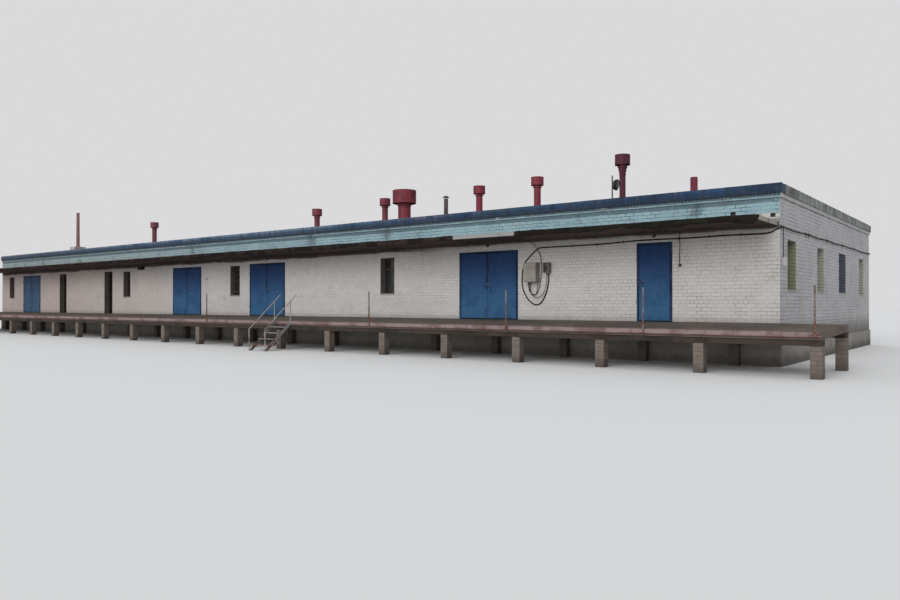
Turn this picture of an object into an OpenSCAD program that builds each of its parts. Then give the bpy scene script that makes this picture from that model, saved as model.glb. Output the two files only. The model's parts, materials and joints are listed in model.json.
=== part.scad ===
// Long single-storey brick factory building with a loading platform, modelled at half its real size.
// Millimetres. X runs along the platform front to the right, Y into the building, Z up from the ground.
// The origin is on the ground, in the middle of the ground that the building and its platform cover.

/* [Building] */
// Distance between two bay lines along the front
bay_w = 3000; // [2950:10:3300]
// Number of bays
bays = 8; // [8:1:10]
// Depth of the building over its walls
building_d = 6700; // [6500:10:7400]
// Thickness of the brick walls
wall_t = 255; // [230:5:320]
// Thickness of the brick parapet above the roof
parapet_t = 130; // [100:5:160]
// Floor above the ground
floor_z = 560; // [480:10:700]
// Top of the foundation blocks above the ground
foundation_h = 300; // [200:10:340]
// Width of the foundation blocks
foundation_t = 300; // [280:5:400]
// How far the foundation blocks stand outside the wall face
foundation_out = 20; // [0:5:40]
// Thickness of the floor slab
floor_t = 110; // [80:5:130]
// How far the floor slab runs into the walls
floor_bearing = 110; // [60:5:140]

/* [Heights above the floor] */
// Head of the doors
door_head = 1130; // [1115:5:1160]
// Underside of the canopy
canopy_under = 1267; // [1255:1:1300]
// Underside of the roof slab
roof_under = 1450; // [1400:5:1500]
// Top of the brickwork
wall_top = 1628; // [1610:2:1700]
// Sill of the windows
window_sill = 430; // [380:5:480]
// Head of the windows
window_head = 1105; // [1000:5:1110]

/* [Roof edge] */
// Thickness of the roof slab with its roofing
roof_t = 150; // [120:5:158]
// Height of the projecting brick course
cornice_h = 71; // [60:1:90]
// How far the brick course projects
cornice_out = 18; // [8:1:25]
// Height of the metal coping
coping_h = 112; // [90:1:140]
// How far the coping stands outside the wall face
coping_out = 34; // [28:1:50]
// Thickness of the coping's side flanges
coping_lip = 8; // [4:1:10]
// How far the coping's top falls towards the roof
coping_fall = 16; // [8:1:24]
// How far the coping's flanges hang over the brick course
coping_drop = 9; // [4:1:20]

/* [Canopy] */
// How far the canopy stands out from the wall
canopy_d = 880; // [600:10:1200]
// Thickness of the canopy slab
canopy_t = 56; // [40:1:80]
// How far the canopy slab runs into the wall
canopy_bearing = 120; // [80:5:180]
// Distance from the canopy's ends to the building's ends
canopy_gap = 30; // [20:5:250]

/* [Platform] */
// Depth of the platform
deck_d = 1520; // [1300:10:1800]
// How far the platform runs past the building's ends
deck_end = 790; // [400:10:1000]
// Thickness of the platform slabs
deck_t = 90; // [70:5:120]
// How much the platform falls towards its edge
deck_fall = 47; // [20:1:70]
// Length of a platform slab along the front
deck_slab_w = 1250; // [900:10:1500]
// Joint between two platform slabs
deck_joint = 6; // [2:1:12]
// Height of the steel edge
edge_h = 66; // [50:1:68]
// Width of the steel edge's flanges
edge_d = 26; // [15:1:35]
// Wall of the steel edge
edge_t = 5; // [3:1:8]
// Width of the beams under the platform slabs
beam_w = 150; // [120:5:200]
// Height of the beams under the platform slabs
beam_h = 66; // [50:2:90]
// Distance of the front beam from the platform's edge
beam_set = 45; // [30:5:140]
// Side of a platform pier
pier_w = 120; // [90:5:160]
// Radius of the edge posts
post_r = 11; // [8:1:16]
// Height of the edge posts above the platform
post_h = 500; // [300:10:600]

/* [Stair] */
// Bay in which the stair stands, counted from the right
stair_bay = 2; // [1:1:3]
// Middle of the stair from the right line of its bay
stair_at = 1990; // [600:10:2400]
// Width of the stair
stair_w = 418; // [350:2:520]
// Length of the stair on the ground
stair_run = 580; // [480:10:700]
// Number of treads
treads = 4; // [3:1:5]
// Depth of a tread
tread_d = 118; // [90:1:130]
// Thickness of a tread
tread_t = 12; // [6:1:16]
// Depth of a stringer
stringer_h = 50; // [36:1:64]
// Thickness of a stringer
stringer_t = 8; // [5:1:12]
// Radius of the handrails
rail_r = 8; // [5:0.5:10]
// Radius of the handrail posts
rail_post_r = 9; // [6:0.5:12]
// Height of the handrails above the stringers
rail_h = 350; // [300:10:480]
// How far the handrails run on over the platform
rail_over = 130; // [40:5:200]

/* [Doors] */
// Width of a double door with its frame
dock_w = 1190; // [1100:5:1260]
// Width of the single door with its frame
side_w = 530; // [460:5:600]
// Width of the two narrow doorways
doorway_w = 430; // [380:5:480]
// Width of a frame member
frame_w = 28; // [20:1:36]
// Depth of a steel frame member
frame_d = 70; // [50:1:100]
// How far the steel frames stand out of the wall
frame_out = 6; // [0:1:12]
// Thickness of a door leaf
leaf_t = 26; // [20:1:34]
// Thickness of the sheet on a door leaf
sheet_t = 4; // [2:1:6]
// Width of a bar on the back of a door leaf
bar_w = 36; // [24:1:48]
// Gap round a door leaf
door_gap = 7; // [7:0.5:9]
// Gap under a door leaf
leaf_clear = 14; // [10:1:20]
// Width of the strip that covers the gap between two leaves
lap_w = 34; // [24:1:44]
// Radius of the hinge knuckles
hinge_r = 8; // [7:0.5:10]
// Radius of the hinge pins
pin_r = 4; // [3:0.5:5]
// Length of a hinge knuckle
knuckle_h = 38; // [28:1:50]
// Length of a hinge strap
strap_l = 150; // [90:5:220]
// Recess of the timber frames in the narrow doorways
doorway_recess = 110; // [60:5:150]

/* [Places in the bays] */
// Middle of the single door from the right line of bay 1
side_door_at = 1686; // [700:2:2300]
// Middle of double door 1 from the right line of bay 2
dock_1_at = 1582; // [700:2:1900]
// Middle of double door 2 from the right line of bay 4
dock_2_at = 1370; // [700:2:1600]
// Middle of double door 3 from the right line of bay 5
dock_3_at = 1388; // [700:2:2200]
// Middle of double door 4 from the right line of bay 8
dock_4_at = 810; // [700:2:1300]
// Middle of narrow doorway 1 from the right line of bay 6
doorway_1_at = 2118; // [1700:2:2500]
// Middle of narrow doorway 2 from the right line of bay 7
doorway_2_at = 1747; // [600:2:2300]
// Middle of front window 1 from the right line of bay 3
window_1_at = 860; // [400:2:2400]
// Middle of front window 2 from the right line of bay 4
window_2_at = 2497; // [2300:2:2600]
// Middle of front window 3 from the right line of bay 6
window_3_at = 1158; // [900:2:1500]
// Middle of front window 4 from the right line of bay 8
window_4_at = 2259; // [1900:2:2500]
// Middle of the wall grate from the right line of bay 6
grate_at = 458; // [300:2:600]
// Middle of end window 1 from the front
end_window_1_at = 612; // [560:2:900]
// Middle of end window 2 from the front
end_window_2_at = 2367; // [1800:2:2700]
// Middle of the barred end window from the front
end_window_3_at = 4045; // [3600:2:4400]
// Middle of end window 4 from the back
end_window_4_at = 850; // [620:5:1000]

/* [Windows] */
// Width of the front windows
front_window_w = 350; // [300:5:420]
// Width of the end and back windows
end_window_w = 460; // [400:5:520]
// Width of the barred end window
barred_window_w = 600; // [520:5:680]
// Recess of the window frames
window_recess = 110; // [60:5:140]
// Width of a window frame member
sash_w = 26; // [18:1:34]
// Depth of a window frame member
sash_d = 34; // [24:1:44]
// Thickness of the glass
glass_t = 4; // [3:1:6]
// Share of the window's height under its cross bar
transom_share = 0.68; // [0.5:0.01:0.8]
// Thickness of a window sill
sill_t = 18; // [12:1:26]
// How far a sill stands out of the wall
sill_out = 24; // [12:1:40]
// Width of the wall grate
grate_w = 350; // [280:5:420]
// Height of the wall grate
grate_h = 110; // [80:5:120]
// Number of louvres in the wall grate
louvres = 5; // [3:1:7]

/* [Roof fittings] */
// Distance of the roof fittings behind the front
vent_y = 1520; // [1200:10:2400]
// Radius of a vent pipe
vent_r = 63; // [50:1:75]
// Radius of a vent head
head_r = 114; // [95:1:130]
// Height of a vent head
head_h = 152; // [130:1:200]
// Radius of the collar under a vent head
rim_r = 80; // [72:1:90]
// Radius of the big vent's pipe
big_vent_r = 131; // [100:1:150]
// Radius of the big vent's head
big_head_r = 245; // [200:1:280]
// Height of the big vent's head
big_head_h = 274; // [240:2:340]
// Radius of the collar under the big vent's head
big_rim_r = 148; // [140:1:170]
// Top of the big vent above the roof
big_vent_h = 1028; // [800:2:1200]
// Radius of the tall vent's pipe
tall_vent_r = 51; // [45:1:65]
// Radius of the tall vent's head
tall_head_r = 126; // [100:1:140]
// Height of the tall vent's head
tall_head_h = 173; // [150:1:260]
// Length of the flared neck under the tall vent's head
tall_neck_h = 152; // [100:2:240]
// Radius of the mouth of the tall vent's neck
tall_mouth_r = 74; // [66:1:84]
// Top of the tall vent above the roof
tall_vent_h = 1168; // [900:2:1300]
// Wall of the vent sheets
vent_t = 5; // [3:1:8]
// How far the collars of the tall vent and the flue stand out of the pipe
collar_out = 8; // [4:1:12]
// Height of a collar
collar_h = 14; // [8:1:18]
// Width of the skirt round a vent's foot
skirt_w = 60; // [30:5:90]
// Top of the flue above the roof
flue_h = 1639; // [1200:5:1800]
// Radius of the flue at its foot
flue_r = 54; // [45:1:70]
// Radius of the flue at its top
flue_top_r = 46; // [40:1:60]
// Side of the flue's base
flue_base_w = 345; // [300:5:560]
// Height of the flue's base
flue_base_h = 520; // [400:5:600]
// Top of the thin pipe above the roof
thin_pipe_h = 829; // [600:2:1000]
// Radius of the thin pipe
thin_pipe_r = 42; // [30:1:50]
// Radius of the thin pipe's rain cap
rain_cap_r = 70; // [55:1:80]
// Gap between the thin pipe's mouth and its rain cap
rain_gap = 26; // [16:1:36]
// Top of the pipe stub above the roof
stub_h = 662; // [500:2:800]
// Radius of the pipe stub
stub_r = 56; // [45:1:65]
// Height of the floodlight's middle above the roof
floodlight_h = 690; // [500:2:800]
// Radius of the floodlight
floodlight_r = 95; // [70:1:110]
// Depth of the floodlight
floodlight_d = 76; // [60:1:90]

/* [Electrical fittings] */
// Right side of the meter cabinet from the right line of bay 2
cabinet_at = 578; // [500:2:640]
// Width of the meter cabinet
cabinet_w = 230; // [200:5:260]
// Height of the meter cabinet
cabinet_h = 297; // [260:1:330]
// Depth of the meter cabinet
cabinet_d = 129; // [110:1:150]
// Bottom of the meter cabinet above the floor
cabinet_z = 602; // [560:2:640]
// Gap between the cabinet and the small box
box_gap = 122; // [100:2:140]
// Width of the small box beside the cabinet
box_w = 88; // [70:2:110]
// Height of the small box
box_h = 163; // [130:1:190]
// Depth of the small box
box_d = 115; // [90:1:130]
// Radius of the wall cable
cable_r = 7; // [5:0.5:9]
// Radius of the thinner leads
lead_r = 4.5; // [3:0.5:6]
// Middle of the switch from the middle of the single door
switch_at = 378; // [340:2:440]
// Height of the cable on the end wall above the floor
end_cable_z = 1250; // [1200:5:1300]
// Radius of the door lamps
lamp_r = 26; // [20:1:32]
// Middle of the door lamps above the floor
lamp_z = 1222; // [1200:2:1230]

/* [Hidden] */
$fn = 32;

// Length of the building, and how far back the middle of the covered ground lies
len = bays * bay_w;
mid_y = (building_d + coping_out - deck_d - stair_run) / 2;
roof_top = floor_z + roof_under + roof_t;
head_z = floor_z + door_head;
top_z = floor_z + wall_top;
cut = 1;
fit = 0.3;

// Place along the front: at millimetres left of the right line of a bay, bays counted from 0
function in_bay(bay, at) = len / 2 - bay * bay_w - at;

side_x = in_bay(0, side_door_at);
dock_x = [in_bay(1, dock_1_at), in_bay(3, dock_2_at), in_bay(4, dock_3_at), in_bay(7, dock_4_at)];
doorway_x = [in_bay(5, doorway_1_at), in_bay(6, doorway_2_at)];
front_window_x = [in_bay(2, window_1_at), in_bay(3, window_2_at),
    in_bay(5, window_3_at), in_bay(7, window_4_at)];
end_windows = [[end_window_1_at, end_window_w], [end_window_2_at, end_window_w],
    [end_window_3_at, barred_window_w], [building_d - end_window_4_at, end_window_w]];

// Door openings that split the front wall, from right to left: middle and width
splits = [[side_x, side_w], [dock_x[0], dock_w], [dock_x[1], dock_w], [dock_x[2], dock_w],
    [doorway_x[0], doorway_w], [doorway_x[1], doorway_w], [dock_x[3], dock_w]];

// Roof fittings: bay from the right, place in it, top above the roof
vents = [[1, 1548, 967], [1, 2853, 932], [2, 2338, 908], [3, 1485, 853], [5, 2432, 1015]];
big_vent_place = [2, 1786];
tall_vent_place = [0, 2877];
flue_place = [7, 1057];
thin_pipe_place = [2, 675];
stub_place = [0, 1659];
floodlight_place = [1, 64];

// Missing bricks of the parapet: middle from the building's right end, height above the canopy's underside
missing_bricks = [[590, 160], [81, 110]];
brick_hole = [62, 62, 50];

// Edge posts: place along the front from the building's right end
post_from_right = [-732, 1192, 3201, 5845, 10297];

brick_white = [0.86, 0.83, 0.80];
brick_turquoise = [0.45, 0.68, 0.72];
concrete = [0.45, 0.42, 0.38];
door_blue = [0.10, 0.28, 0.55];
vent_red = [0.55, 0.12, 0.10];
rail_grey = [0.70, 0.70, 0.70];

module on_site() translate([0, -mid_y, 0]) children();

// A box from its low corner to its high corner
module block(lo, hi) translate(lo) cube(hi - lo);

// A profile of [y, z] points carried along X from x0 to x1
module along_x(x0, x1, points)
    translate([x0, 0, 0]) rotate([90, 0, 90]) linear_extrude(x1 - x0) polygon(points);

// A profile of [x, z] points carried along Y from y0 to y1
module along_y(y0, y1, points)
    translate([0, y1, 0]) rotate([90, 0, 0]) linear_extrude(y1 - y0) polygon(points);

// Foundation of concrete blocks under the walls
module foundation() color(concrete) on_site() {
    x = len / 2 + foundation_out;
    difference() {
        block([-x, -foundation_out, 0], [x, building_d + foundation_out, foundation_h]);
        block([-x + foundation_t, foundation_t - foundation_out, -cut],
            [x - foundation_t, building_d + foundation_out - foundation_t, foundation_h + cut]);
    }
}

// Brickwork between the foundation and the floor, with a ledge for the floor slab
module base_wall() color(brick_white) on_site() {
    x = len / 2;
    ledge = wall_t - floor_bearing;
    difference() {
        block([-x, 0, foundation_h], [x, building_d, floor_z]);
        block([-x + wall_t, wall_t, foundation_h - cut], [x - wall_t, building_d - wall_t, floor_z + cut]);
        block([-x + ledge, ledge, floor_z - floor_t], [x - ledge, building_d - ledge, floor_z + cut]);
    }
}

module floor_slab() color(concrete) on_site() {
    x = len / 2 - wall_t + floor_bearing;
    y = wall_t - floor_bearing;
    block([-x, y, floor_z - floor_t], [x, building_d - y, floor_z]);
}

// Window openings of the front wall between x0 and x1
module front_window_cuts(x0, x1)
    for (x = front_window_x)
        if (x > x0 && x < x1)
            block([x - front_window_w / 2, -cut, floor_z + window_sill],
                [x + front_window_w / 2, wall_t + cut, floor_z + window_head]);

// Front wall between two doors, counted from the right, up to the door heads
module front_wall(i) color(brick_white) on_site() {
    x1 = i == 0 ? len / 2 : splits[i - 1][0] - splits[i - 1][1] / 2;
    x0 = i == len(splits) ? -len / 2 : splits[i][0] + splits[i][1] / 2;
    difference() {
        block([x0, 0, floor_z], [x1, wall_t, head_z]);
        front_window_cuts(x0, x1);
    }
}

// Wall section with a ledge for the roof slab, from height z0 to the top of the brickwork
function wall_points(z0) = [[0, z0], [wall_t, z0], [wall_t, floor_z + roof_under],
    [parapet_t, floor_z + roof_under], [parapet_t, top_z], [0, top_z]];

// Front wall over the doors, with the pocket of the canopy, the grate and two missing bricks
module front_upper_wall() color(brick_turquoise) on_site() {
    x = len / 2;
    grate_x = in_bay(5, grate_at);
    difference() {
        along_x(-x, x, wall_points(head_z));
        block([-x + canopy_gap, -cut, floor_z + canopy_under],
            [x - canopy_gap, canopy_bearing, floor_z + canopy_under + canopy_t]);
        block([grate_x - grate_w / 2, -cut, head_z],
            [grate_x + grate_w / 2, wall_t + cut, head_z + grate_h]);
        for (b = missing_bricks)
            translate([len / 2 - b[0] - brick_hole[0] / 2, -cut, floor_z + canopy_under + b[1]])
                cube([brick_hole[0], brick_hole[1] + cut, brick_hole[2]]);
    }
}

module back_wall() color(brick_white) on_site()
    difference() {
        translate([0, building_d, 0]) mirror([0, 1, 0]) along_x(-len / 2, len / 2, wall_points(floor_z));
        for (x = back_window_x)
            block([x - end_window_w / 2, building_d - wall_t - cut, floor_z + window_sill],
                [x + end_window_w / 2, building_d + cut, floor_z + window_head]);
    }
back_window_x = [for (i = [0:bays - 1]) in_bay(i, bay_w / 2)];

// End wall on the right, between the front and back walls, with its parapet between the other parapets
module end_wall()
    difference() {
        union() {
            block([len / 2 - wall_t, wall_t, floor_z], [len / 2, building_d - wall_t, floor_z + roof_under]);
            block([len / 2 - parapet_t, parapet_t, floor_z + roof_under],
                [len / 2, building_d - parapet_t, top_z]);
        }
        for (w = end_windows)
            block([len / 2 - wall_t - cut, w[0] - w[1] / 2, floor_z + window_sill],
                [len / 2 + cut, w[0] + w[1] / 2, floor_z + window_head]);
    }

module right_end_wall() color(brick_white) on_site() end_wall();

module left_end_wall() color(brick_white) on_site() mirror([1, 0, 0]) end_wall();

// Projecting brick course round the top of the walls
module cornice() color(brick_turquoise) on_site() {
    x = len / 2 + cornice_out;
    inner = cornice_out + parapet_t;
    difference() {
        block([-x, -cornice_out, top_z], [x, building_d + cornice_out, top_z + cornice_h]);
        block([-x + inner, inner - cornice_out, top_z - cut],
            [x - inner, building_d + cornice_out - inner, top_z + cornice_h + cut]);
    }
}

module roof_slab() color([0.25, 0.25, 0.26]) on_site() {
    x = len / 2 - parapet_t;
    block([-x, parapet_t, floor_z + roof_under], [x, building_d - parapet_t, roof_top]);
}

// Coping: a sloped cap over the brickwork, with flanges that hang over the outer and the inner face
coping_z = top_z + cornice_h;
coping_back = parapet_t + coping_out - cornice_out;
coping_cap = [[-coping_out, coping_z - coping_drop], [-coping_out + coping_lip, coping_z - coping_drop],
    [-coping_out + coping_lip, coping_z], [coping_back, coping_z],
    [coping_back, coping_z + coping_h - coping_fall], [-coping_out, coping_z + coping_h]];
inner_flange = [[coping_back - coping_lip, coping_z - coping_drop], [coping_back, coping_z - coping_drop],
    [coping_back, coping_z + cut], [coping_back - coping_lip, coping_z + cut]];

// Coping along a whole front, with the outer flanges of its two ends
module long_coping() {
    x = len / 2 + coping_out;
    xi = len / 2 - coping_back + coping_lip;
    along_x(-x, x, coping_cap);
    along_x(-xi, xi, inner_flange);
    for (side = [0, 1]) mirror([side, 0, 0])
        block([x - coping_lip, -coping_out, coping_z - coping_drop], [x, coping_back, coping_z + cut]);
}

module front_coping() color([0.12, 0.30, 0.55]) on_site() long_coping();

// Coping of the ends and the back
module rear_coping() color([0.62, 0.62, 0.64]) on_site() {
    for (side = [0, 1], points = [coping_cap, inner_flange]) mirror([side, 0, 0])
        translate([len / 2, 0, 0])
            along_y(coping_back, building_d - coping_back, [for (p = points) [-p[0], p[1]]]);
    translate([0, building_d, 0]) mirror([0, 1, 0]) long_coping();
}

module canopy() color([0.30, 0.27, 0.24]) on_site()
    block([-len / 2 + canopy_gap, -canopy_d, floor_z + canopy_under],
        [len / 2 - canopy_gap, canopy_bearing, floor_z + canopy_under + canopy_t]);

// Platform
deck_len = len + 2 * deck_end;
deck_n = round(deck_len / deck_slab_w);
deck_step = deck_len / deck_n;
// Height of the platform's top, y behind the wall face
function deck_z(y) = floor_z + deck_fall * y / deck_d;

// Slabs side by side, their noses seated in the steel channel
module deck_slabs() color([0.50, 0.44, 0.40]) on_site() {
    y0 = -deck_d + edge_t;
    y1 = -deck_d + edge_d;
    z1 = deck_z(-deck_d);
    for (i = [0:deck_n - 1])
        along_x(-deck_len / 2 + i * deck_step + deck_joint / 2,
            -deck_len / 2 + (i + 1) * deck_step - deck_joint / 2,
            [[0, deck_z(0)], [y1, deck_z(y1)], [y1, z1 - edge_t], [y0, z1 - edge_t],
                [y0, z1 - edge_h + edge_t], [y1, z1 - edge_h + edge_t], [y1, deck_z(y1) - deck_t],
                [0, deck_z(0) - deck_t]]);
}

// Steel channel along the platform's edge, its web outwards
module deck_edge() color([0.48, 0.30, 0.28]) on_site() {
    y0 = -deck_d;
    z1 = deck_z(y0);
    along_x(-deck_len / 2, deck_len / 2,
        [[y0, z1], [y0, z1 - edge_h], [y0 + edge_d, z1 - edge_h], [y0 + edge_d, z1 - edge_h + edge_t],
            [y0 + edge_t, z1 - edge_h + edge_t], [y0 + edge_t, z1 - edge_t],
            [y0 + edge_d, z1 - edge_t], [y0 + edge_d, z1]]);
}

// Front and back beam under the slabs: low edge of each in Y, and its underside
beam_rows = [-deck_d + beam_set, -beam_w - fit];
function beam_top(y) = deck_z(y) - deck_t - fit;
function beam_z(y) = beam_top(y) - beam_h;

module deck_beams() color([0.36, 0.30, 0.27]) on_site()
    for (y = beam_rows)
        along_x(-deck_len / 2, deck_len / 2,
            [[y, beam_z(y)], [y + beam_w, beam_z(y)],
                [y + beam_w, beam_top(y + beam_w)], [y, beam_top(y)]]);

// Brick piers in a front and a back row, under the middle of the beams
module deck_piers() color([0.52, 0.48, 0.44]) on_site() {
    half = deck_len / 2 - pier_w / 2;
    for (i = [0:deck_n], row = beam_rows) {
        x = -half + i * 2 * half / deck_n;
        y = min(row + (beam_w - pier_w) / 2, -foundation_out - pier_w - fit);
        block([x - pier_w / 2, y, 0], [x + pier_w / 2, y + pier_w, beam_z(row)]);
    }
}

module deck_posts() color(rail_grey) on_site()
    for (x = post_from_right)
        translate([len / 2 - x, -deck_d - post_r - fit, deck_z(-deck_d) - edge_h])
            cylinder(r = post_r, h = edge_h + post_h);

// Stair: two stringers and plate treads, square to the platform's edge
stair_x = in_bay(stair_bay, stair_at);
stair_top = deck_z(-deck_d);
stair_slope = atan2(stair_top, stair_run);
// Height of the stringers' upper edge, y in front of the platform's edge
function stair_z(y) = stair_top * (1 - y / stair_run);

module stair() color([0.35, 0.36, 0.38]) on_site() {
    deep = stringer_h / cos(stair_slope);
    foot = deep / tan(stair_slope);
    y0 = -deck_d - fit;
    for (side = [-1, 1]) {
        x = stair_x + side * (stair_w / 2 - stringer_t / 2);
        along_x(x - stringer_t / 2, x + stringer_t / 2,
            [[y0, stair_top], [y0 - stair_run, 0], [y0 - stair_run + foot, 0], [y0, stair_top - deep]]);
    }
    for (i = [1:treads]) {
        y = stair_run * i / (treads + 1);
        z = stair_z(y);
        block([stair_x - stair_w / 2 + stringer_t, y0 - y - tread_d / 4, z - tread_t],
            [stair_x + stair_w / 2 - stringer_t, y0 - y + tread_d * 3 / 4, z]);
    }
}

// A pipe between two points
module pipe(a, b, r) {
    d = b - a;
    translate(a) rotate([0, acos(d[2] / norm(d)), atan2(d[1], d[0])]) cylinder(r = r, h = norm(d));
}

// Handrail outside each stringer, from a post on the ground past one at the platform's edge
module stair_rails() color(rail_grey) on_site()
    for (side = [-1, 1]) {
        x = stair_x + side * (stair_w / 2 + rail_post_r + fit);
        y0 = -deck_d - rail_post_r - fit;
        y1 = y0 - stair_run + 3 * rail_post_r;
        low = [x, y1, stair_z(y0 - y1) + rail_h];
        high = [x, y0 + rail_over, stair_z(-rail_over) + rail_h];
        translate([x, y1, 0]) cylinder(r = rail_post_r, h = low[2] + rail_post_r);
        translate([x, y0, stair_top - edge_h]) cylinder(r = rail_post_r, h = edge_h + rail_h);
        pipe(low, high, rail_r);
    }

// Doors: the hinge axis stands in the gap, in front of the leaf's face
axis_out = hinge_r + 2 * fit;
axis_y = -frame_out - axis_out;
leaf_z = floor_z + leaf_clear;
leaf_h = door_head - frame_w - door_gap - leaf_clear;
dock_leaf_w = (dock_w - 2 * frame_w - 3 * door_gap) / 2;
side_leaf_w = side_w - 2 * frame_w - 2 * door_gap;
hinge_z = [0.16, 0.82];

// Steel frame round a door opening, with the pins of its hinges; sides lists the hinged jambs
module door_frame(x, w, sides) {
    half = w / 2;
    difference() {
        block([x - half, -frame_out, floor_z], [x + half, frame_d - frame_out, head_z]);
        block([x - half + frame_w, -frame_out - cut, floor_z - cut],
            [x + half - frame_w, frame_d + cut, head_z - frame_w]);
    }
    for (side = sides, h = hinge_z)
        translate([x + side * (half - frame_w - door_gap / 2), axis_y, leaf_z + h * leaf_h])
            hinge_pin(side);
}

// Lower knuckle with its pin, welded to the jamb on the given side
module hinge_pin(side) {
    cylinder(r = hinge_r, h = knuckle_h);
    cylinder(r = pin_r, h = 2 * knuckle_h);
    translate([side > 0 ? 0 : -frame_w, 0, 0]) cube([frame_w, axis_out, knuckle_h]);
}

module door_frames() color(door_blue) on_site() {
    door_frame(side_x, side_w, [1]);
    for (x = dock_x) door_frame(x, dock_w, [-1, 1]);
}

// A leaf w wide, its hinge axis on the origin and its bottom at height 0, reaching along +X
module leaf(w, lap) {
    y0 = axis_out;
    x0 = door_gap / 2;
    y1 = y0 + leaf_t;
    block([x0, y0, 0], [x0 + w, y0 + sheet_t, leaf_h]);
    for (z = [0, (leaf_h - bar_w) / 2, leaf_h - bar_w])
        block([x0, y0 + sheet_t, z], [x0 + w, y1, z + bar_w]);
    for (x = [x0, x0 + w - bar_w])
        block([x, y0 + sheet_t, 0], [x + bar_w, y1, leaf_h]);
    if (lap)
        block([x0 + w - lap_w, y0 - sheet_t, 0], [x0 + w + door_gap * 0.1, y0, leaf_h]);
    for (h = hinge_z)
        translate([0, 0, h * leaf_h + knuckle_h + fit])
            difference() {
                union() {
                    cylinder(r = hinge_r, h = knuckle_h - fit);
                    translate([0, axis_out - sheet_t, 0]) cube([strap_l, sheet_t, knuckle_h - fit]);
                }
                translate([0, 0, -cut]) cylinder(r = pin_r + fit, h = knuckle_h + 2 * cut);
            }
}

// A leaf hung on the jamb at hinge_x; turned is true where it reaches to the left of its hinge
module hung_leaf(hinge_x, w, turned, lap) color(door_blue) on_site()
    translate([hinge_x, axis_y, leaf_z]) mirror([turned ? 1 : 0, 0, 0]) leaf(w, lap);

// Distance of the hinge axes from the middle of a door w wide
function hinge_out(w) = w / 2 - frame_w - door_gap / 2;

module dock_left(i) hung_leaf(dock_x[i] - hinge_out(dock_w), dock_leaf_w, false, false);
module dock_right(i) hung_leaf(dock_x[i] + hinge_out(dock_w), dock_leaf_w, true, true);
module side_door() hung_leaf(side_x + hinge_out(side_w), side_leaf_w, true, false);

// Timber frames in the two narrow doorways
module doorway_frames() color([0.22, 0.16, 0.12]) on_site()
    for (x = doorway_x)
        difference() {
            block([x - doorway_w / 2, doorway_recess, floor_z],
                [x + doorway_w / 2, doorway_recess + frame_d, head_z]);
            block([x - doorway_w / 2 + frame_w, doorway_recess - cut, floor_z - cut],
                [x + doorway_w / 2 - frame_w, doorway_recess + frame_d + cut, head_z - frame_w]);
        }

// Places the children in each window: X across the opening from its middle, Y into the wall, Z from the sill
module in_windows() on_site() {
    z = floor_z + window_sill;
    for (x = front_window_x) translate([x, 0, z]) {
        $w = front_window_w;
        children();
    }
    for (x = back_window_x) translate([x, building_d, z]) rotate(180) {
        $w = end_window_w;
        children();
    }
    for (side = [0, 1], w = end_windows) mirror([side, 0, 0])
        translate([len / 2, w[0], z]) rotate(90) {
            $w = w[1];
            children();
        }
}
window_h = window_head - window_sill;

module window_frames() color([0.30, 0.24, 0.20]) in_windows()
    difference() {
        block([-$w / 2, window_recess, 0], [$w / 2, window_recess + sash_d, window_h]);
        block([-$w / 2 + sash_w, window_recess - cut, sash_w],
            [$w / 2 - sash_w, window_recess + sash_d + cut, window_h * transom_share]);
        block([-$w / 2 + sash_w, window_recess - cut, window_h * transom_share + sash_w],
            [$w / 2 - sash_w, window_recess + sash_d + cut, window_h - sash_w]);
    }

module window_glass() color([0.45, 0.50, 0.42, 0.6]) in_windows()
    block([-$w / 2, window_recess + sash_d, 0], [$w / 2, window_recess + sash_d + glass_t, window_h]);

module window_sills() color([0.70, 0.70, 0.68]) in_windows()
    along_x(-$w / 2, $w / 2,
        [[-sill_out, 0], [-sill_out, sill_t - sill_fall], [window_recess, sill_t], [window_recess, 0]]);
sill_fall = 7;

// Grate of sloping louvres in a frame
module wall_grate() color([0.12, 0.10, 0.10]) on_site() {
    x = in_bay(5, grate_at);
    y = window_recess;
    inner_h = grate_h - 2 * grate_frame;
    step = inner_h / louvres;
    difference() {
        block([x - grate_w / 2, y, head_z], [x + grate_w / 2, y + sash_d, head_z + grate_h]);
        block([x - grate_w / 2 + grate_frame, y - cut, head_z + grate_frame],
            [x + grate_w / 2 - grate_frame, y + sash_d + cut, head_z + grate_h - grate_frame]);
    }
    for (i = [0:louvres - 1]) {
        z = head_z + grate_frame + i * step;
        along_x(x - grate_w / 2 + grate_frame - cut, x + grate_w / 2 - grate_frame + cut,
            [[y + louvre_t, z], [y + 2 * louvre_t, z],
                [y + sash_d - louvre_t, z + step], [y + sash_d - 2 * louvre_t, z + step]]);
    }
}
grate_frame = 10;
louvre_t = 4;

// Places the children on the roof at a bay, a place in it and the fittings' line
module on_roof(place) on_site()
    translate([in_bay(place[0], place[1]), vent_y, roof_top]) children();

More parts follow.
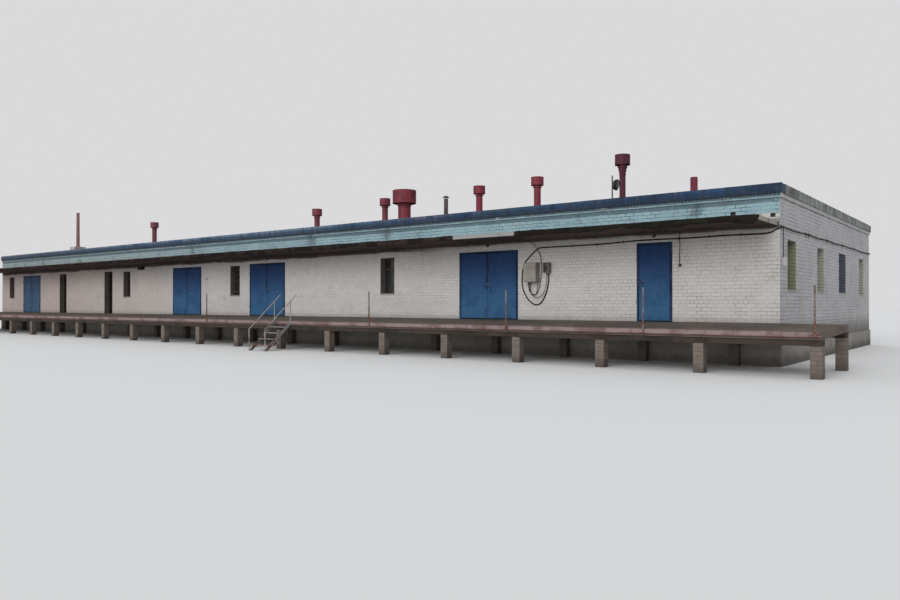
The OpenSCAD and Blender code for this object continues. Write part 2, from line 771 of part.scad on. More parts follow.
// Vent: a pipe of radius r with a skirt on the roof, that widens to the radius mouth between the height
// neck under the head and the collar; the head is an open ring of radius hr and height hh, its top at h,
// that holds a shallow cap on four struts
module vent(r, mouth, rim, h, hr, hh, neck) {
    z0 = h - hh - neck;
    z1 = h - hh - collar_gap - collar_h;
    z3 = h - hh * mouth_depth;
    rotate_extrude() polygon([[r - vent_t, 0], [r + skirt_w, 0], [r + skirt_w, vent_t], [r, skirt_w], [r, z0],
        [mouth, z1], [mouth, z3], [mouth - vent_t, z3], [mouth - vent_t, z1], [r - vent_t, z0]]);
    collar(mouth, rim, z1);
    rotate_extrude() polygon([[hr - vent_t, h - hh], [hr, h - hh], [hr, h], [hr - vent_t, h]]);
    rotate_extrude() polygon([[0, h - hh * cap_depth], [hr * cap_share, h - hh * cap_depth],
        [hr * cap_share, h - hh * cap_depth + vent_t], [0, h]]);
    for (a = [45:90:315]) rotate(a)
        translate([mouth - vent_t / 2, -vent_t / 2, h - hh * strut_depth])
            cube([hr - mouth, vent_t, hh * (strut_depth - cap_depth) + vent_t / 2]);
}

// Collar of radius rim round a pipe of radius r, its foot at height z
module collar(r, rim, z)
    translate([0, 0, z]) difference() {
        cylinder(r = rim, h = collar_h);
        translate([0, 0, -cut]) cylinder(r = r - vent_t / 2, h = collar_h + 2 * cut);
    }

// Gap between a vent's collar and its head, height in which a pipe widens under the collar, radius of the
// cap by the head's, and the depths of the mouth, the cap and the struts by the head's height
collar_gap = 26;
neck_h = 70;
big_widen = 1.07;
cap_share = 0.88;
mouth_depth = 0.5;
cap_depth = 0.2;
strut_depth = 0.75;

module roof_vents() color(vent_red)
    for (v = vents) on_roof(v) vent(vent_r, vent_r, rim_r, v[2], head_r, head_h, neck_h);

module big_vent() color(vent_red) on_roof(big_vent_place)
    vent(big_vent_r, big_vent_r * big_widen, big_rim_r, big_vent_h, big_head_r, big_head_h, neck_h);

module tall_vent() color(vent_red) on_roof(tall_vent_place) {
    vent(tall_vent_r, tall_mouth_r, tall_mouth_r + collar_out,
        tall_vent_h, tall_head_r, tall_head_h, tall_neck_h);
    collar(tall_vent_r, tall_vent_r + collar_out, tall_vent_h - tall_head_h - tall_neck_h - collar_h);
}

module flue_base() color([0.80, 0.78, 0.75]) on_roof(flue_place)
    block([-flue_base_w / 2, -flue_base_w / 2, 0], [flue_base_w / 2, flue_base_w / 2, flue_base_h]);

// Flue: a pipe that narrows to its collar at the top
module flue() color(vent_red) on_roof(flue_place)
    translate([0, 0, flue_base_h]) {
        z = flue_h - flue_base_h;
        rotate_extrude()
            polygon([[flue_r - vent_t, 0], [flue_r + skirt_w, 0], [flue_r + skirt_w, vent_t],
                [flue_r, skirt_w / 2], [flue_top_r, z - collar_h], [flue_top_r + collar_out, z - collar_h],
                [flue_top_r + collar_out, z], [flue_top_r - vent_t, z], [flue_top_r - vent_t, z - collar_h]]);
    }

// A thin pipe with a rain cap on three struts, and an open pipe stub
module roof_pipes() color(vent_red) {
    on_roof(thin_pipe_place) {
        r = thin_pipe_r;
        z = thin_pipe_h - rain_cap_h - rain_gap;
        rotate_extrude() polygon([[r - vent_t, 0], [r + skirt_w, 0], [r + skirt_w, vent_t], [r, skirt_w],
            [r, z], [r - vent_t, z]]);
        rotate_extrude() polygon([[0, z + rain_gap], [rain_cap_r, z + rain_gap],
            [rain_cap_r, z + rain_gap + vent_t], [0, thin_pipe_h]]);
        for (a = [0:120:240]) rotate(a)
            translate([r - vent_t, -vent_t / 2, z - rain_gap])
                cube([vent_t, vent_t, 2 * rain_gap + vent_t / 2]);
    }
    on_roof(stub_place) rotate_extrude()
        polygon([[stub_r - vent_t, 0], [stub_r + skirt_w, 0], [stub_r + skirt_w, vent_t], [stub_r, skirt_w],
            [stub_r, stub_h], [stub_r - vent_t, stub_h]]);
}
rain_cap_h = 44;

// Floodlight: a pole with a deep round reflector on a bracket at its right
module floodlight() color([0.25, 0.25, 0.27]) on_roof(floodlight_place) {
    r = floodlight_r;
    d = floodlight_d;
    cylinder(r = post_r, h = floodlight_h + pole_over);
    translate([0, 0, floodlight_h]) rotate([0, 90 + floodlight_tilt, 0]) {
        rotate_extrude() polygon([[0, post_r], [r * 0.4, post_r], [r * 0.85, post_r + d * 0.4],
            [r, post_r + d * 0.85], [r, post_r + d], [r - vent_t, post_r + d],
            [r - vent_t, post_r + d - vent_t], [0, post_r + d - vent_t]]);
        translate([-post_r / 2, -post_r / 2, 0]) cube([post_r, post_r, post_r + d / 4]);
    }
}
// Height of the pole over the floodlight's middle, and how far the light looks down
pole_over = 150;
floodlight_tilt = 12;

// Meter cabinet with its rain hood and door, the small box beside it, a switch by the side door, and the
// boxes of the end wall
cabinet_x = in_bay(1, cabinet_at) - cabinet_w;
box_x = cabinet_x + cabinet_w + box_gap;
module meter_boxes() color([0.58, 0.56, 0.52]) on_site() {
    z = floor_z + cabinet_z;
    block([cabinet_x, -cabinet_d, z], [cabinet_x + cabinet_w, 0, z + cabinet_h]);
    block([cabinet_x + hood_out, -cabinet_d - box_door_t, z + hood_out],
        [cabinet_x + cabinet_w - hood_out, -cabinet_d, z + cabinet_h - hood_out]);
    along_x(cabinet_x - hood_out, cabinet_x + cabinet_w + hood_out,
        [[0, z + cabinet_h], [-cabinet_d - 2 * hood_out, z + cabinet_h],
            [-cabinet_d - 2 * hood_out, z + cabinet_h + hood_t], [0, z + cabinet_h + 2 * hood_t]]);
    difference() {
        block([box_x, -box_d, z + cabinet_h - box_h], [box_x + box_w, 0, z + cabinet_h]);
        block([box_x + hood_out, -box_d - cut, z + cabinet_h - box_h + hood_out],
            [box_x + box_w - hood_out, -box_d / 2, z + cabinet_h - hood_out]);
    }
    translate([switch_x, 0, floor_z + switch_z]) rotate([90, 0, 0]) cylinder(r = switch_r, h = switch_r);
    translate([len / 2, end_box_y, floor_z + end_box_z]) block([0, 0, 0], end_box);
}
hood_out = 8;
hood_t = 6;
box_door_t = 5;
switch_r = 22;
switch_x = side_x + switch_at;
switch_z = 791;
end_box = [46, 84, 110];
end_box_y = 130;
end_box_z = 750;

// A tube of eight sides swept along points
function unit(v) = v / norm(v);
function heading(p, i) = unit(p[min(i + 1, len(p) - 1)] - p[max(i - 1, 0)]);
function ring(p, i, r) = let (t = heading(p, i), u = unit(cross(t, [0.31, 0.82, 0.13])), v = cross(t, u))
    [for (k = [0:7]) p[i] + r * (cos(k * 45) * u + sin(k * 45) * v)];
module tube(p, r) {
    n = len(p);
    polyhedron([for (i = [0:n - 1]) each ring(p, i, r)],
        concat([[for (k = [0:7]) k]], [[for (k = [7:-1:0]) (n - 1) * 8 + k]],
            [for (i = [0:n - 2], k = [0:7])
                [i * 8 + k, (i + 1) * 8 + k, (i + 1) * 8 + (k + 1) % 8, i * 8 + (k + 1) % 8]]));
}

// Cables: from the small box in a wide loop round the cabinet, along the front, round the corner and along
// the end wall to the back wall; a lead from the canopy to the cabinet; two short leads under the boxes;
// the drops to the switch and to the end wall's box. Each lies in front of the one before it.
module wall_cables() color([0.06, 0.06, 0.07]) on_site() {
    x = cabinet_x;
    e = len / 2;
    g = cable_r + fit;
    zc = floor_z + end_cable_z;
    bottom = cabinet_z;
    box_bottom = cabinet_z + cabinet_h - box_h;
    tube([[box_x + box_w / 2, -g, floor_z + box_bottom], for (p = main_loop) [x + p[0], -g, floor_z + p[1]],
        for (p = main_run) [e - p[0], -g, floor_z + p[1]],
        [e - corner_run, -g, zc - 2 * corner_rise], [e, -g, zc - corner_rise],
        [e + g * corner_cut, -g * corner_cut, zc - g], [e + g, 0, zc - g], [e + g, corner_run, zc],
        [e + g, building_d - corner_run, zc], [e + g, building_d, zc],
        [e + g * corner_cut, building_d + g * corner_cut, zc], [e, building_d + g, zc],
        [e - corner_run, building_d + 2 * g, zc], [e - corner_run - g, building_d + 2 * g, zc],
        [e - corner_run - 2 * g, building_d + g, zc], [e - corner_run - 2 * g, building_d, zc]], cable_r);
    lead([[top_lead[0][0], canopy_under], each top_lead, [top_lead[len(top_lead) - 1][0], bottom]], 1);
    lead([[short_lead[0][0], bottom], each short_lead, [short_lead[len(short_lead) - 1][0], bottom]], 2);
    lead([[box_lead[0][0], bottom], each box_lead, [box_lead[len(box_lead) - 1][0], box_bottom]], 3);
    lead([for (h = [canopy_under, switch_z + switch_r]) [switch_x - x, h]], 1);
    tube([for (h = [zc - cable_r, floor_z + end_box_z + end_box[2]])
        [e + lead_r + fit, end_box_y + end_box[1] / 4, h]], lead_r);
}

// A lead in the given layer in front of the main cable, through points counted as in the routes
module lead(points, layer)
    tube([for (p = points) [cabinet_x + p[0], -2 * (cable_r + fit) - (2 * layer - 1) * (lead_r + fit),
        floor_z + p[1]]], lead_r);

// Main cable at the building's corners: length of its bends, how far it climbs before the front one, and the
// middle of a bend by its distance from the walls
corner_run = 50;
corner_rise = 20;
corner_cut = 0.8;
// Routes: X from the cabinet's left side, or main_run from the building's right end, and height above the
// floor
main_loop = [[396, 640], [379, 531], [344, 411], [274, 291], [186, 238], [98, 261], [8, 337], [-73, 476],
    [-96, 600], [-92, 754], [-60, 870], [-20, 940], [40, 1000], [116, 1068], [190, 1118], [260, 1139]];
main_run = [[3140, 1141], [2536, 1144], [2243, 1156], [1959, 1166], [1594, 1168], [1100, 1164], [745, 1172],
    [429, 1170], [200, 1167], [90, 1185]];
top_lead = [[46, 1240], [107, 1213], [169, 1157], [230, 1063], [262, 971], [278, 865], [274, 774],
    [260, 654], [232, 518], [186, 420], [124, 405], [60, 450], [34, 530]];
short_lead = [[206, 520], [196, 450], [151, 390], [90, 420], [60, 500]];
box_lead = [[80, 520], [86, 440], [124, 384], [190, 352], [262, 370], [320, 420], [365, 532], [376, 640]];

// Round lamps on the wall over the doors: a base, a neck and a shade
module door_lamps() color([0.75, 0.74, 0.70]) on_site()
    for (x = [side_x, dock_x[0], dock_x[1], dock_x[2]])
        translate([x, 0, floor_z + lamp_z]) rotate([90, 0, 0]) rotate_extrude()
            polygon([[0, 0], [lamp_r, 0], [lamp_r, lamp_r * 0.2], [lamp_r * 0.6, lamp_r * 0.4],
                [lamp_r * 0.9, lamp_r * 0.9], [lamp_r * 0.7, lamp_r * 1.4], [0, lamp_r * 1.6]]);

foundation();
base_wall();
floor_slab();
front_wall(0);  // front_wall_1
front_wall(1);  // front_wall_2
front_wall(2);  // front_wall_3
front_wall(3);  // front_wall_4
front_wall(4);  // front_wall_5
front_wall(5);  // front_wall_6
front_wall(6);  // front_wall_7
front_wall(7);  // front_wall_8
front_upper_wall();
back_wall();
left_end_wall();
right_end_wall();
cornice();
roof_slab();
front_coping();
rear_coping();
canopy();
deck_slabs();
deck_edge();
deck_beams();
deck_piers();
deck_posts();
stair();
stair_rails();
door_frames();
doorway_frames();
side_door();
dock_left(0);  // dock_door_1_left
dock_right(0);  // dock_door_1_right
dock_left(1);  // dock_door_2_left
dock_right(1);  // dock_door_2_right
dock_left(2);  // dock_door_3_left
dock_right(2);  // dock_door_3_right
dock_left(3);  // dock_door_4_left
dock_right(3);  // dock_door_4_right
window_frames();
window_glass();
window_sills();
wall_grate();
roof_vents();
big_vent();
tall_vent();
flue();
flue_base();
roof_pipes();
floodlight();
meter_boxes();
wall_cables();
door_lamps();
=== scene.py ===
"""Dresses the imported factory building: brickwork, coping, doors, windows, cables, roof and finishes. Metres."""

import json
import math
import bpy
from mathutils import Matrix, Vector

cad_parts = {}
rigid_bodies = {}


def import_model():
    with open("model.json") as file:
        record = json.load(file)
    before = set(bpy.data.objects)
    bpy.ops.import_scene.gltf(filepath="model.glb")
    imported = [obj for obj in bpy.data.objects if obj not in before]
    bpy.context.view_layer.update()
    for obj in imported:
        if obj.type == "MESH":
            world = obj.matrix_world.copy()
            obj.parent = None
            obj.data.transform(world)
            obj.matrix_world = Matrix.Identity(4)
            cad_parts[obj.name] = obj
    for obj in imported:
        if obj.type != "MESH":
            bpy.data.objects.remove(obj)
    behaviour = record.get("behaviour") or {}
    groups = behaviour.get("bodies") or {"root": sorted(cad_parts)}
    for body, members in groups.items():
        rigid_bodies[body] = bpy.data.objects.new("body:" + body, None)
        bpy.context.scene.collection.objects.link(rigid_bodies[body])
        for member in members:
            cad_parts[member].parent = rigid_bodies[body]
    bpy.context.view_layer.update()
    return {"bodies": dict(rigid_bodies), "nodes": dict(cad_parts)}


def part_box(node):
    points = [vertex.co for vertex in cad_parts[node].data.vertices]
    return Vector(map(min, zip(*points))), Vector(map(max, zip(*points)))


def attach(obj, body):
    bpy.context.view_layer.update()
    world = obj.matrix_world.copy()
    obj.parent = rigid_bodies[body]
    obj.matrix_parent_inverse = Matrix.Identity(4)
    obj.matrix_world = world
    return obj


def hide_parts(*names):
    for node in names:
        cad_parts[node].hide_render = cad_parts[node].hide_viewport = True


bl_info = {
    "name": "Factory Building",
    "version": (1, 0, 0),
    "blender": (4, 5, 0),
    "location": "3D View > Sidebar > Factory",
    "description": "Brickwork, sheet metal, fittings and finishes for the packed factory building",
    "category": "Object",
}

import bpy
import numpy as np

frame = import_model()

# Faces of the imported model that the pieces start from
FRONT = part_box("front_upper_wall")[0].y
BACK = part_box("back_wall")[1].y
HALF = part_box("front_upper_wall")[1].x
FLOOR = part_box("floor_slab")[1].z
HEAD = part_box("front_upper_wall")[0].z
WALL_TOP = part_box("front_upper_wall")[1].z
BASE_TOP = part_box("foundation")[1].z
CORNICE_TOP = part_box("cornice")[1].z
ROOF_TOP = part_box("roof_slab")[1].z
COPING_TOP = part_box("front_coping")[1].z
CANOPY_LO, CANOPY_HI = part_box("canopy")
DECK_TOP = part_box("deck_slabs")[1].z
EDGE_LO, EDGE_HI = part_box("deck_edge")
CORNICE_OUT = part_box("cornice")[1].x - HALF
COPING_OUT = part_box("front_coping")[1].x - HALF
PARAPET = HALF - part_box("roof_slab")[1].x
SILL, WINDOW_HEAD = FLOOR + 0.430, FLOOR + 1.105
RECESS = 0.110          # of the window panes, from the wall's face
FOOTING_OUT = 0.020     # how far the foundation stands out of the wall
DECK_DEPTH = 0.156      # of the platform where it meets the wall
COPING_LAP = 0.009      # how far the coping laps over the cornice
PIN_IN = 0.008          # of the door hinges' pins, from the leaf's outer edge

# Openings: middle and width along each wall
SIDE_DOOR = (10.314, 0.53)
DOCK_DOORS = [(7.418, 1.19), (1.630, 1.19), (-1.388, 1.19), (-9.810, 1.19)]
DOORWAYS = [(-5.118, 0.43), (-7.747, 0.43)]
FRONT_WINDOWS = [(x, 0.35) for x in (5.140, 0.503, -4.158, -11.259)]
GRATE, GRATE_HEIGHT = (-3.458, 0.35), 0.11
END_WINDOWS = [(FRONT + y, w) for y, w in ((0.612, 0.46), (2.367, 0.46), (4.045, 0.60), (5.850, 0.46))]
BACK_WINDOWS = [(HALF - 1.5 - 3 * i, 0.46) for i in range(8)]
# Missing headers: middle, and height over the canopy's underside
MISSING_BRICKS = [(HALF - 0.590, 0.160), (HALF - 0.081, 0.110)]

UP = np.array([0.0, 0.0, 1.0])
TO_FRONT, TO_BACK, TO_RIGHT, TO_LEFT = (0, -1, 0), (0, 1, 0), (1, 0, 0), (-1, 0, 0)


# Shapes. A part is a pair: an array of points and a list of arrays of faces.

def plane(origin, along, normal):
    """A wall plane: its origin, the direction along it and the direction out of it."""
    return np.array(origin, float), np.array(along, float), np.array(normal, float)


def place(wall, u, v, h):
    """Points of a wall plane: u along it, v up and h out of it."""
    origin, along, normal = wall
    u, v, h = np.broadcast_arrays(u, v, h)
    return origin + u[..., None] * along + v[..., None] * UP + h[..., None] * normal


def grid_faces(rows, columns, closed=False):
    """Four-cornered faces between the neighbouring points of a grid; closed joins the last column to the first."""
    i, j = np.meshgrid(np.arange(rows - 1), np.arange(columns if closed else columns - 1), indexing="ij")
    low, high, k = i * columns, (i + 1) * columns, (j + 1) % columns
    return np.stack([low + j, low + k, high + k, high + j], -1).reshape(-1, 4)


def end_caps(rows, columns):
    """The first and the last row of a grid of points, each as one face."""
    return [np.arange(columns)[None, ::-1], np.arange(columns)[None] + (rows - 1) * columns]


def carried(rings):
    """A solid of rings of points in a row: faces between neighbouring rings, and both ends closed."""
    rows, columns = rings.shape[:2]
    return rings.reshape(-1, 3), [grid_faces(rows, columns, True)] + end_caps(rows, columns)


def strip(rings):
    """As carried, for rings that run along one side and back on the other: their ends are closed by a row of faces
    between the two sides."""
    rows, columns = rings.shape[:2]
    k = np.arange(columns // 2 - 1)
    cap = np.stack([k, k + 1, columns - 2 - k, columns - 1 - k], -1)
    return rings.reshape(-1, 3), [grid_faces(rows, columns, True), cap[:, ::-1], cap + (rows - 1) * columns]


def revolve(profile, sides=24):
    """A profile of (radius, height) points turned round Z: x = r cos a, y = r sin a. Both ends lie on the axis."""
    profile = np.array(profile, float)
    a = np.linspace(0, 2 * math.pi, sides, endpoint=False)
    inner = profile[1:-1]
    ring = np.stack([inner[:, :1] * np.cos(a), inner[:, :1] * np.sin(a),
                     np.repeat(inner[:, 1:], sides, 1)], -1).reshape(-1, 3)
    points = np.concatenate([ring, [[0, 0, profile[0, 1]], [0, 0, profile[-1, 1]]]])
    j = np.arange(sides)
    k, last = (j + 1) % sides, (len(inner) - 1) * sides
    low = np.stack([k, j, np.full(sides, len(ring))], -1)
    high = np.stack([last + j, last + k, np.full(sides, len(ring) + 1)], -1)
    return points, [grid_faces(len(inner), sides, True), low, high]


def smooth_path(points, step):
    """A cubic path through all points: each span blends its two ends and the slopes of the neighbouring spans."""
    p = np.array(points, float)
    slope = np.gradient(p, axis=0)
    spans = np.maximum(1, np.ceil(np.linalg.norm(np.diff(p, axis=0), axis=1) / step)).astype(int)
    i = np.repeat(np.arange(len(spans)), spans)
    t = np.concatenate([np.arange(n) / n for n in spans])[:, None]
    a, b, c, d = p[i], p[i + 1], slope[i], slope[i + 1]
    path = (2 * t ** 3 - 3 * t ** 2 + 1) * a + (3 * t ** 2 - 2 * t ** 3) * b
    path += (t ** 3 - 2 * t ** 2 + t) * c + (t ** 3 - t ** 2) * d
    return np.concatenate([path, p[-1:]])


def tube(points, radius, sides=10, step=0.03, smooth=True):
    """A round tube along a path: rings of the given radius, square to the path, with closed ends."""
    p = smooth_path(points, step) if smooth else np.array(points, float)
    t = np.gradient(p, axis=0)
    t /= np.linalg.norm(t, axis=1, keepdims=True)
    u = np.cross(t, [0.31, 0.82, 0.13])
    u /= np.linalg.norm(u, axis=1, keepdims=True)
    v = np.cross(t, u)
    a = np.linspace(0, 2 * math.pi, sides, endpoint=False)
    return carried(p[:, None] + radius * (np.cos(a)[:, None] * u[:, None] + np.sin(a)[:, None] * v[:, None]))


def sweep(profile, start, end, out, steps=1):
    """A closed profile of (out, up) points carried straight from start to end."""
    profile, start, end, out = (np.array(x, float) for x in (profile, start, end, out))
    path = start + np.linspace(0, 1, steps + 1)[:, None] * (end - start)
    ring = profile[:, :1] * out + profile[:, 1:] * UP
    return carried(path[:, None] + ring)


def block(lo, hi):
    """A box between two corners."""
    lo, hi = np.array(lo, float), np.array(hi, float)
    corners = np.array([[i, j, k] for k in (0, 1) for j in (0, 1) for i in (0, 1)])
    faces = np.array([[0, 2, 3, 1], [4, 5, 7, 6], [0, 1, 5, 4], [2, 6, 7, 3], [0, 4, 6, 2], [1, 3, 7, 5]])
    return lo + corners * (hi - lo), [faces]


def height_field(x, y, height, base):
    """A closed pad: on the grid of x and y its top has the height of their function, and its underside is flat."""
    gx, gy = np.meshgrid(x, y, indexing="ij")
    top = np.stack([gx, gy, height(gx, gy)], -1).reshape(-1, 3)
    low = np.stack([gx, gy, np.full_like(gx, base)], -1).reshape(-1, 3)
    n, m = len(x), len(y)
    ids = np.arange(n * m).reshape(n, m)
    rim = np.concatenate([ids[:-1, 0], ids[-1, :-1], ids[:0:-1, -1], ids[0, :0:-1]])
    following = np.roll(rim, -1)
    faces = grid_faces(n, m)
    wall = np.stack([rim, following, following + n * m, rim + n * m], -1)
    return np.concatenate([top, low]), [faces[:, ::-1], faces + n * m, wall[:, ::-1]]


def repeat(part, offsets, turns=None):
    """The part at every offset, first turned round Z by the angle of the same index."""
    points, faces = part
    offsets = np.array(offsets, float).reshape(-1, 3)
    a = np.zeros(len(offsets)) if turns is None else np.broadcast_to(turns, len(offsets)).astype(float)
    c, s = np.cos(a)[:, None], np.sin(a)[:, None]
    x, y = points[:, 0] * c - points[:, 1] * s, points[:, 0] * s + points[:, 1] * c
    all_points = np.stack([x, y, np.broadcast_to(points[:, 2], x.shape)], -1) + offsets[:, None]
    step = (np.arange(len(offsets)) * len(points))[:, None, None]
    return all_points.reshape(-1, 3), [(f[None] + step).reshape(-1, f.shape[1]) for f in faces]


def lay(part, axis="y"):
    """The part with its Z turned to point along the given axis: y, -y, x or -x."""
    x, y, z = part[0].T
    turned = {"-y": (x, -z, y), "y": (-x, z, y), "x": (z, y, -x), "-x": (-z, y, x)}[axis]
    return np.stack(turned, -1), part[1]


def disc(profile, sides, axis="-y"):
    """A turned part whose (radius, height) profile stands out along the given axis."""
    return lay(revolve(profile, sides), axis)


def border(x0, x1, z0, z1, width, back, front):
    """Four bars of the given width round the inside of a rectangle: left, right, and between them low and high."""
    return [block((x0, front, z0), (x0 + width, back, z1)), block((x1 - width, front, z0), (x1, back, z1)),
            block((x0 + width, front, z0), (x1 - width, back, z0 + width)),
            block((x0 + width, front, z1 - width), (x1 - width, back, z1))]


def join(*parts):
    """Several parts as one."""
    points, faces, offset = [], [], 0
    for p, f in parts:
        points.append(p)
        faces += [g + offset for g in f]
        offset += len(p)
    return np.concatenate(points), faces


def volume(points, faces):
    """Signed volume inside the faces: a sum over the triangles of each face, from its first corner."""
    total = 0.0
    for f in faces:
        for k in range(1, f.shape[1] - 1):
            a, b, c = points[f[:, 0]], points[f[:, k]], points[f[:, k + 1]]
            total += np.einsum("ij,ij->", a, np.cross(b, c)) / 6
    return total


def build(name, parts, finish, body="building", tone=None, round_over=50, bevel=0.0, replaces=()):
    """Makes a piece from parts, turned outwards, with its finish, on its body; tone is a value for each point."""
    turned = []
    for points, faces in parts:
        centred = points - points.mean(0)
        flip = volume(centred, faces) < 0
        turned.append((points, [f[:, ::-1] if flip else f for f in faces]))
    points, faces = join(*turned)
    mesh = bpy.data.meshes.new(name)
    mesh.vertices.add(len(points))
    mesh.vertices.foreach_set("co", points.astype(np.float32).ravel())
    loops = np.concatenate([f.ravel() for f in faces]).astype(np.int32)
    sizes = np.concatenate([np.full(len(f), f.shape[1]) for f in faces])
    mesh.loops.add(len(loops))
    mesh.loops.foreach_set("vertex_index", loops)
    mesh.polygons.add(len(sizes))
    mesh.polygons.foreach_set("loop_start", (np.cumsum(sizes) - sizes).astype(np.int32))
    mesh.update(calc_edges=True)
    if mesh.validate():
        raise RuntimeError(f"{name} has a broken face")
    if round_over:
        mesh.shade_smooth()
        mesh.set_sharp_from_angle(angle=math.radians(round_over))
    else:
        mesh.shade_flat()
    if tone is not None:
        mesh.attributes.new("tone", "FLOAT", "POINT").data.foreach_set("value", np.asarray(tone, np.float32))
    obj = bpy.data.objects.new(name, mesh)
    bpy.context.scene.collection.objects.link(obj)
    mesh.materials.append(FINISHES[finish])
    if bevel:
        m = obj.modifiers.new("Bevel", "BEVEL")
        m.width, m.segments, m.limit_method, m.angle_limit = bevel, 2, "ANGLE", math.radians(40)
    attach(obj, body)
    if replaces:
        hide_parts(*replaces)


def ripple(x, y, seed, waves=9, longest=1.0, shortest=0.1):
    """Smooth unevenness from -1 to 1: a sum of sines with seeded directions, lengths and phases."""
    rng = np.random.default_rng(seed)
    total = np.zeros(np.broadcast(x, y).shape)
    lengths = np.geomspace(longest, shortest, waves)
    for length, angle, phase in zip(lengths, rng.uniform(0, math.pi, waves), rng.uniform(0, 7, waves)):
        total += length ** 0.6 * np.sin((x * math.cos(angle) + y * math.sin(angle)) * 2 * math.pi / length + phase)
    return total / (lengths ** 0.6).sum() * 2


# Brickwork

LEAST_BRICK = 0.012


def large_enough(rects):
    """The rectangles that leave a brick worth laying."""
    return rects[(rects[:, 1] - rects[:, 0] > LEAST_BRICK) & (rects[:, 3] - rects[:, 2] > LEAST_BRICK)]


def subtract(rects, hole):
    """Rectangles [u0, u1, v0, v1] less a hole: a hit one leaves what is left, right, under and over the hole."""
    u0, u1, v0, v1 = rects.T
    hit = (u0 < hole[1]) & (u1 > hole[0]) & (v0 < hole[3]) & (v1 > hole[2])
    a, b, c, d = rects[hit].T
    inner = np.maximum(a, hole[0]), np.minimum(b, hole[1])
    left = np.stack([a, np.minimum(b, hole[0]), c, d], -1)
    right = np.stack([np.maximum(a, hole[1]), b, c, d], -1)
    under = np.stack([*inner, c, np.minimum(d, hole[2])], -1)
    over = np.stack([*inner, np.maximum(c, hole[3]), d], -1)
    return large_enough(np.concatenate([rects[~hit], left, right, under, over]))


def courses(area, base, holes=(), length=None, course=None, joint=None, header_every=6, shift=0.5):
    """Bricks of an area [u0, u1, v0, v1] in courses counted from base: each course is shifted by half a brick,
    and every sixth is of headers, half as long. Measures that aren't given are the settings' own."""
    s = bpy.context.scene.factory_bricks
    length, course, joint = length or s.length, course or s.course, joint or s.joint
    u0, u1, v0, v1 = area
    rows = []
    for k in range(math.floor((v0 - base) / course + 1e-6), math.ceil((v1 - base) / course - 1e-6)):
        header = header_every and k % header_every == header_every - 1
        pitch = (length + joint) / (2 if header else 1)
        start = u0 + (joint / 2 - pitch * (0.5 if header else shift * (k % 2)))
        u = start + pitch * np.arange(math.ceil((u1 - start) / pitch) + 1)
        rows.append(np.stack([u, u + pitch - joint, np.full_like(u, base + k * course + joint / 2),
                              np.full_like(u, base + (k + 1) * course - joint / 2)], -1))
    rects = np.concatenate(rows)
    rects[:, :2], rects[:, 2:] = rects[:, :2].clip(u0, u1), rects[:, 2:].clip(v0, v1)
    rects = large_enough(rects)
    for hole in holes:
        rects = subtract(rects, hole)
    return rects


def bricks(rects, wall, s, rng):
    """Closed bricks on a wall plane: a back ring inside the wall, a ring at the arris and a smaller front ring.
    Each stands out of the mortar by the settings' measure, give or take, with corners a little uneven."""
    n = len(rects)
    u0, u1, v0, v1 = rects.T[:, :, None]
    u = np.concatenate([u0, u1, u1, u0], 1)
    v = np.concatenate([v0, v0, v1, v1], 1)
    inward = s.arris * np.array([1, -1, -1, 1]), s.arris * np.array([1, 1, -1, -1])
    out = s.proud + rng.normal(0, 0.12, (n, 1)).clip(-0.3, 0.3) * s.proud
    worn = rng.uniform(0, 1, (n, 4)) * 0.25 * s.proud
    rings = np.stack([place(wall, u, v, -0.001), place(wall, u, v, out - s.arris - worn),
                      place(wall, u + inward[0], v + inward[1], out - 0.4 * worn)], 1)
    i = np.arange(4)
    k = (i + 1) % 4
    side = np.stack([i, k, k + 4, i + 4], -1)
    faces = np.concatenate([[[3, 2, 1, 0]], side, side + 4, [[8, 9, 10, 11]]])
    points_each = 12
    all_faces = (faces[None] + (np.arange(n) * points_each)[:, None, None]).reshape(-1, 4)
    return (rings.reshape(-1, 3), [all_faces]), np.repeat(rng.uniform(0, 1, n), points_each)


def planes_round(x0, x1, y0, y1, x=0.0, y=0.0):
    """The wall planes round a block, with their origins at x or y: front, back, right and left."""
    return (plane((x, y0, 0), TO_RIGHT, TO_FRONT), plane((x, y1, 0), TO_LEFT, TO_BACK),
            plane((x1, y, 0), TO_BACK, TO_RIGHT), plane((x0, y, 0), TO_FRONT, TO_LEFT))


def wall_bricks(name, areas, finish, seed):
    """One piece of bricks for several areas, each a wall plane with the rectangles of its bricks."""
    rng = np.random.default_rng(seed)
    parts, tones = zip(*(bricks(rects, wall, bpy.context.scene.factory_bricks, rng) for wall, rects in areas))
    build(name, parts, finish, tone=np.concatenate(tones), round_over=0)


def openings(places, v0, v1, turned=1):
    """Holes in a wall area, one for each middle and width; turned is -1 where the plane runs against the axis."""
    return [(middle * turned - width / 2, middle * turned + width / 2, v0, v1) for middle, width in places]


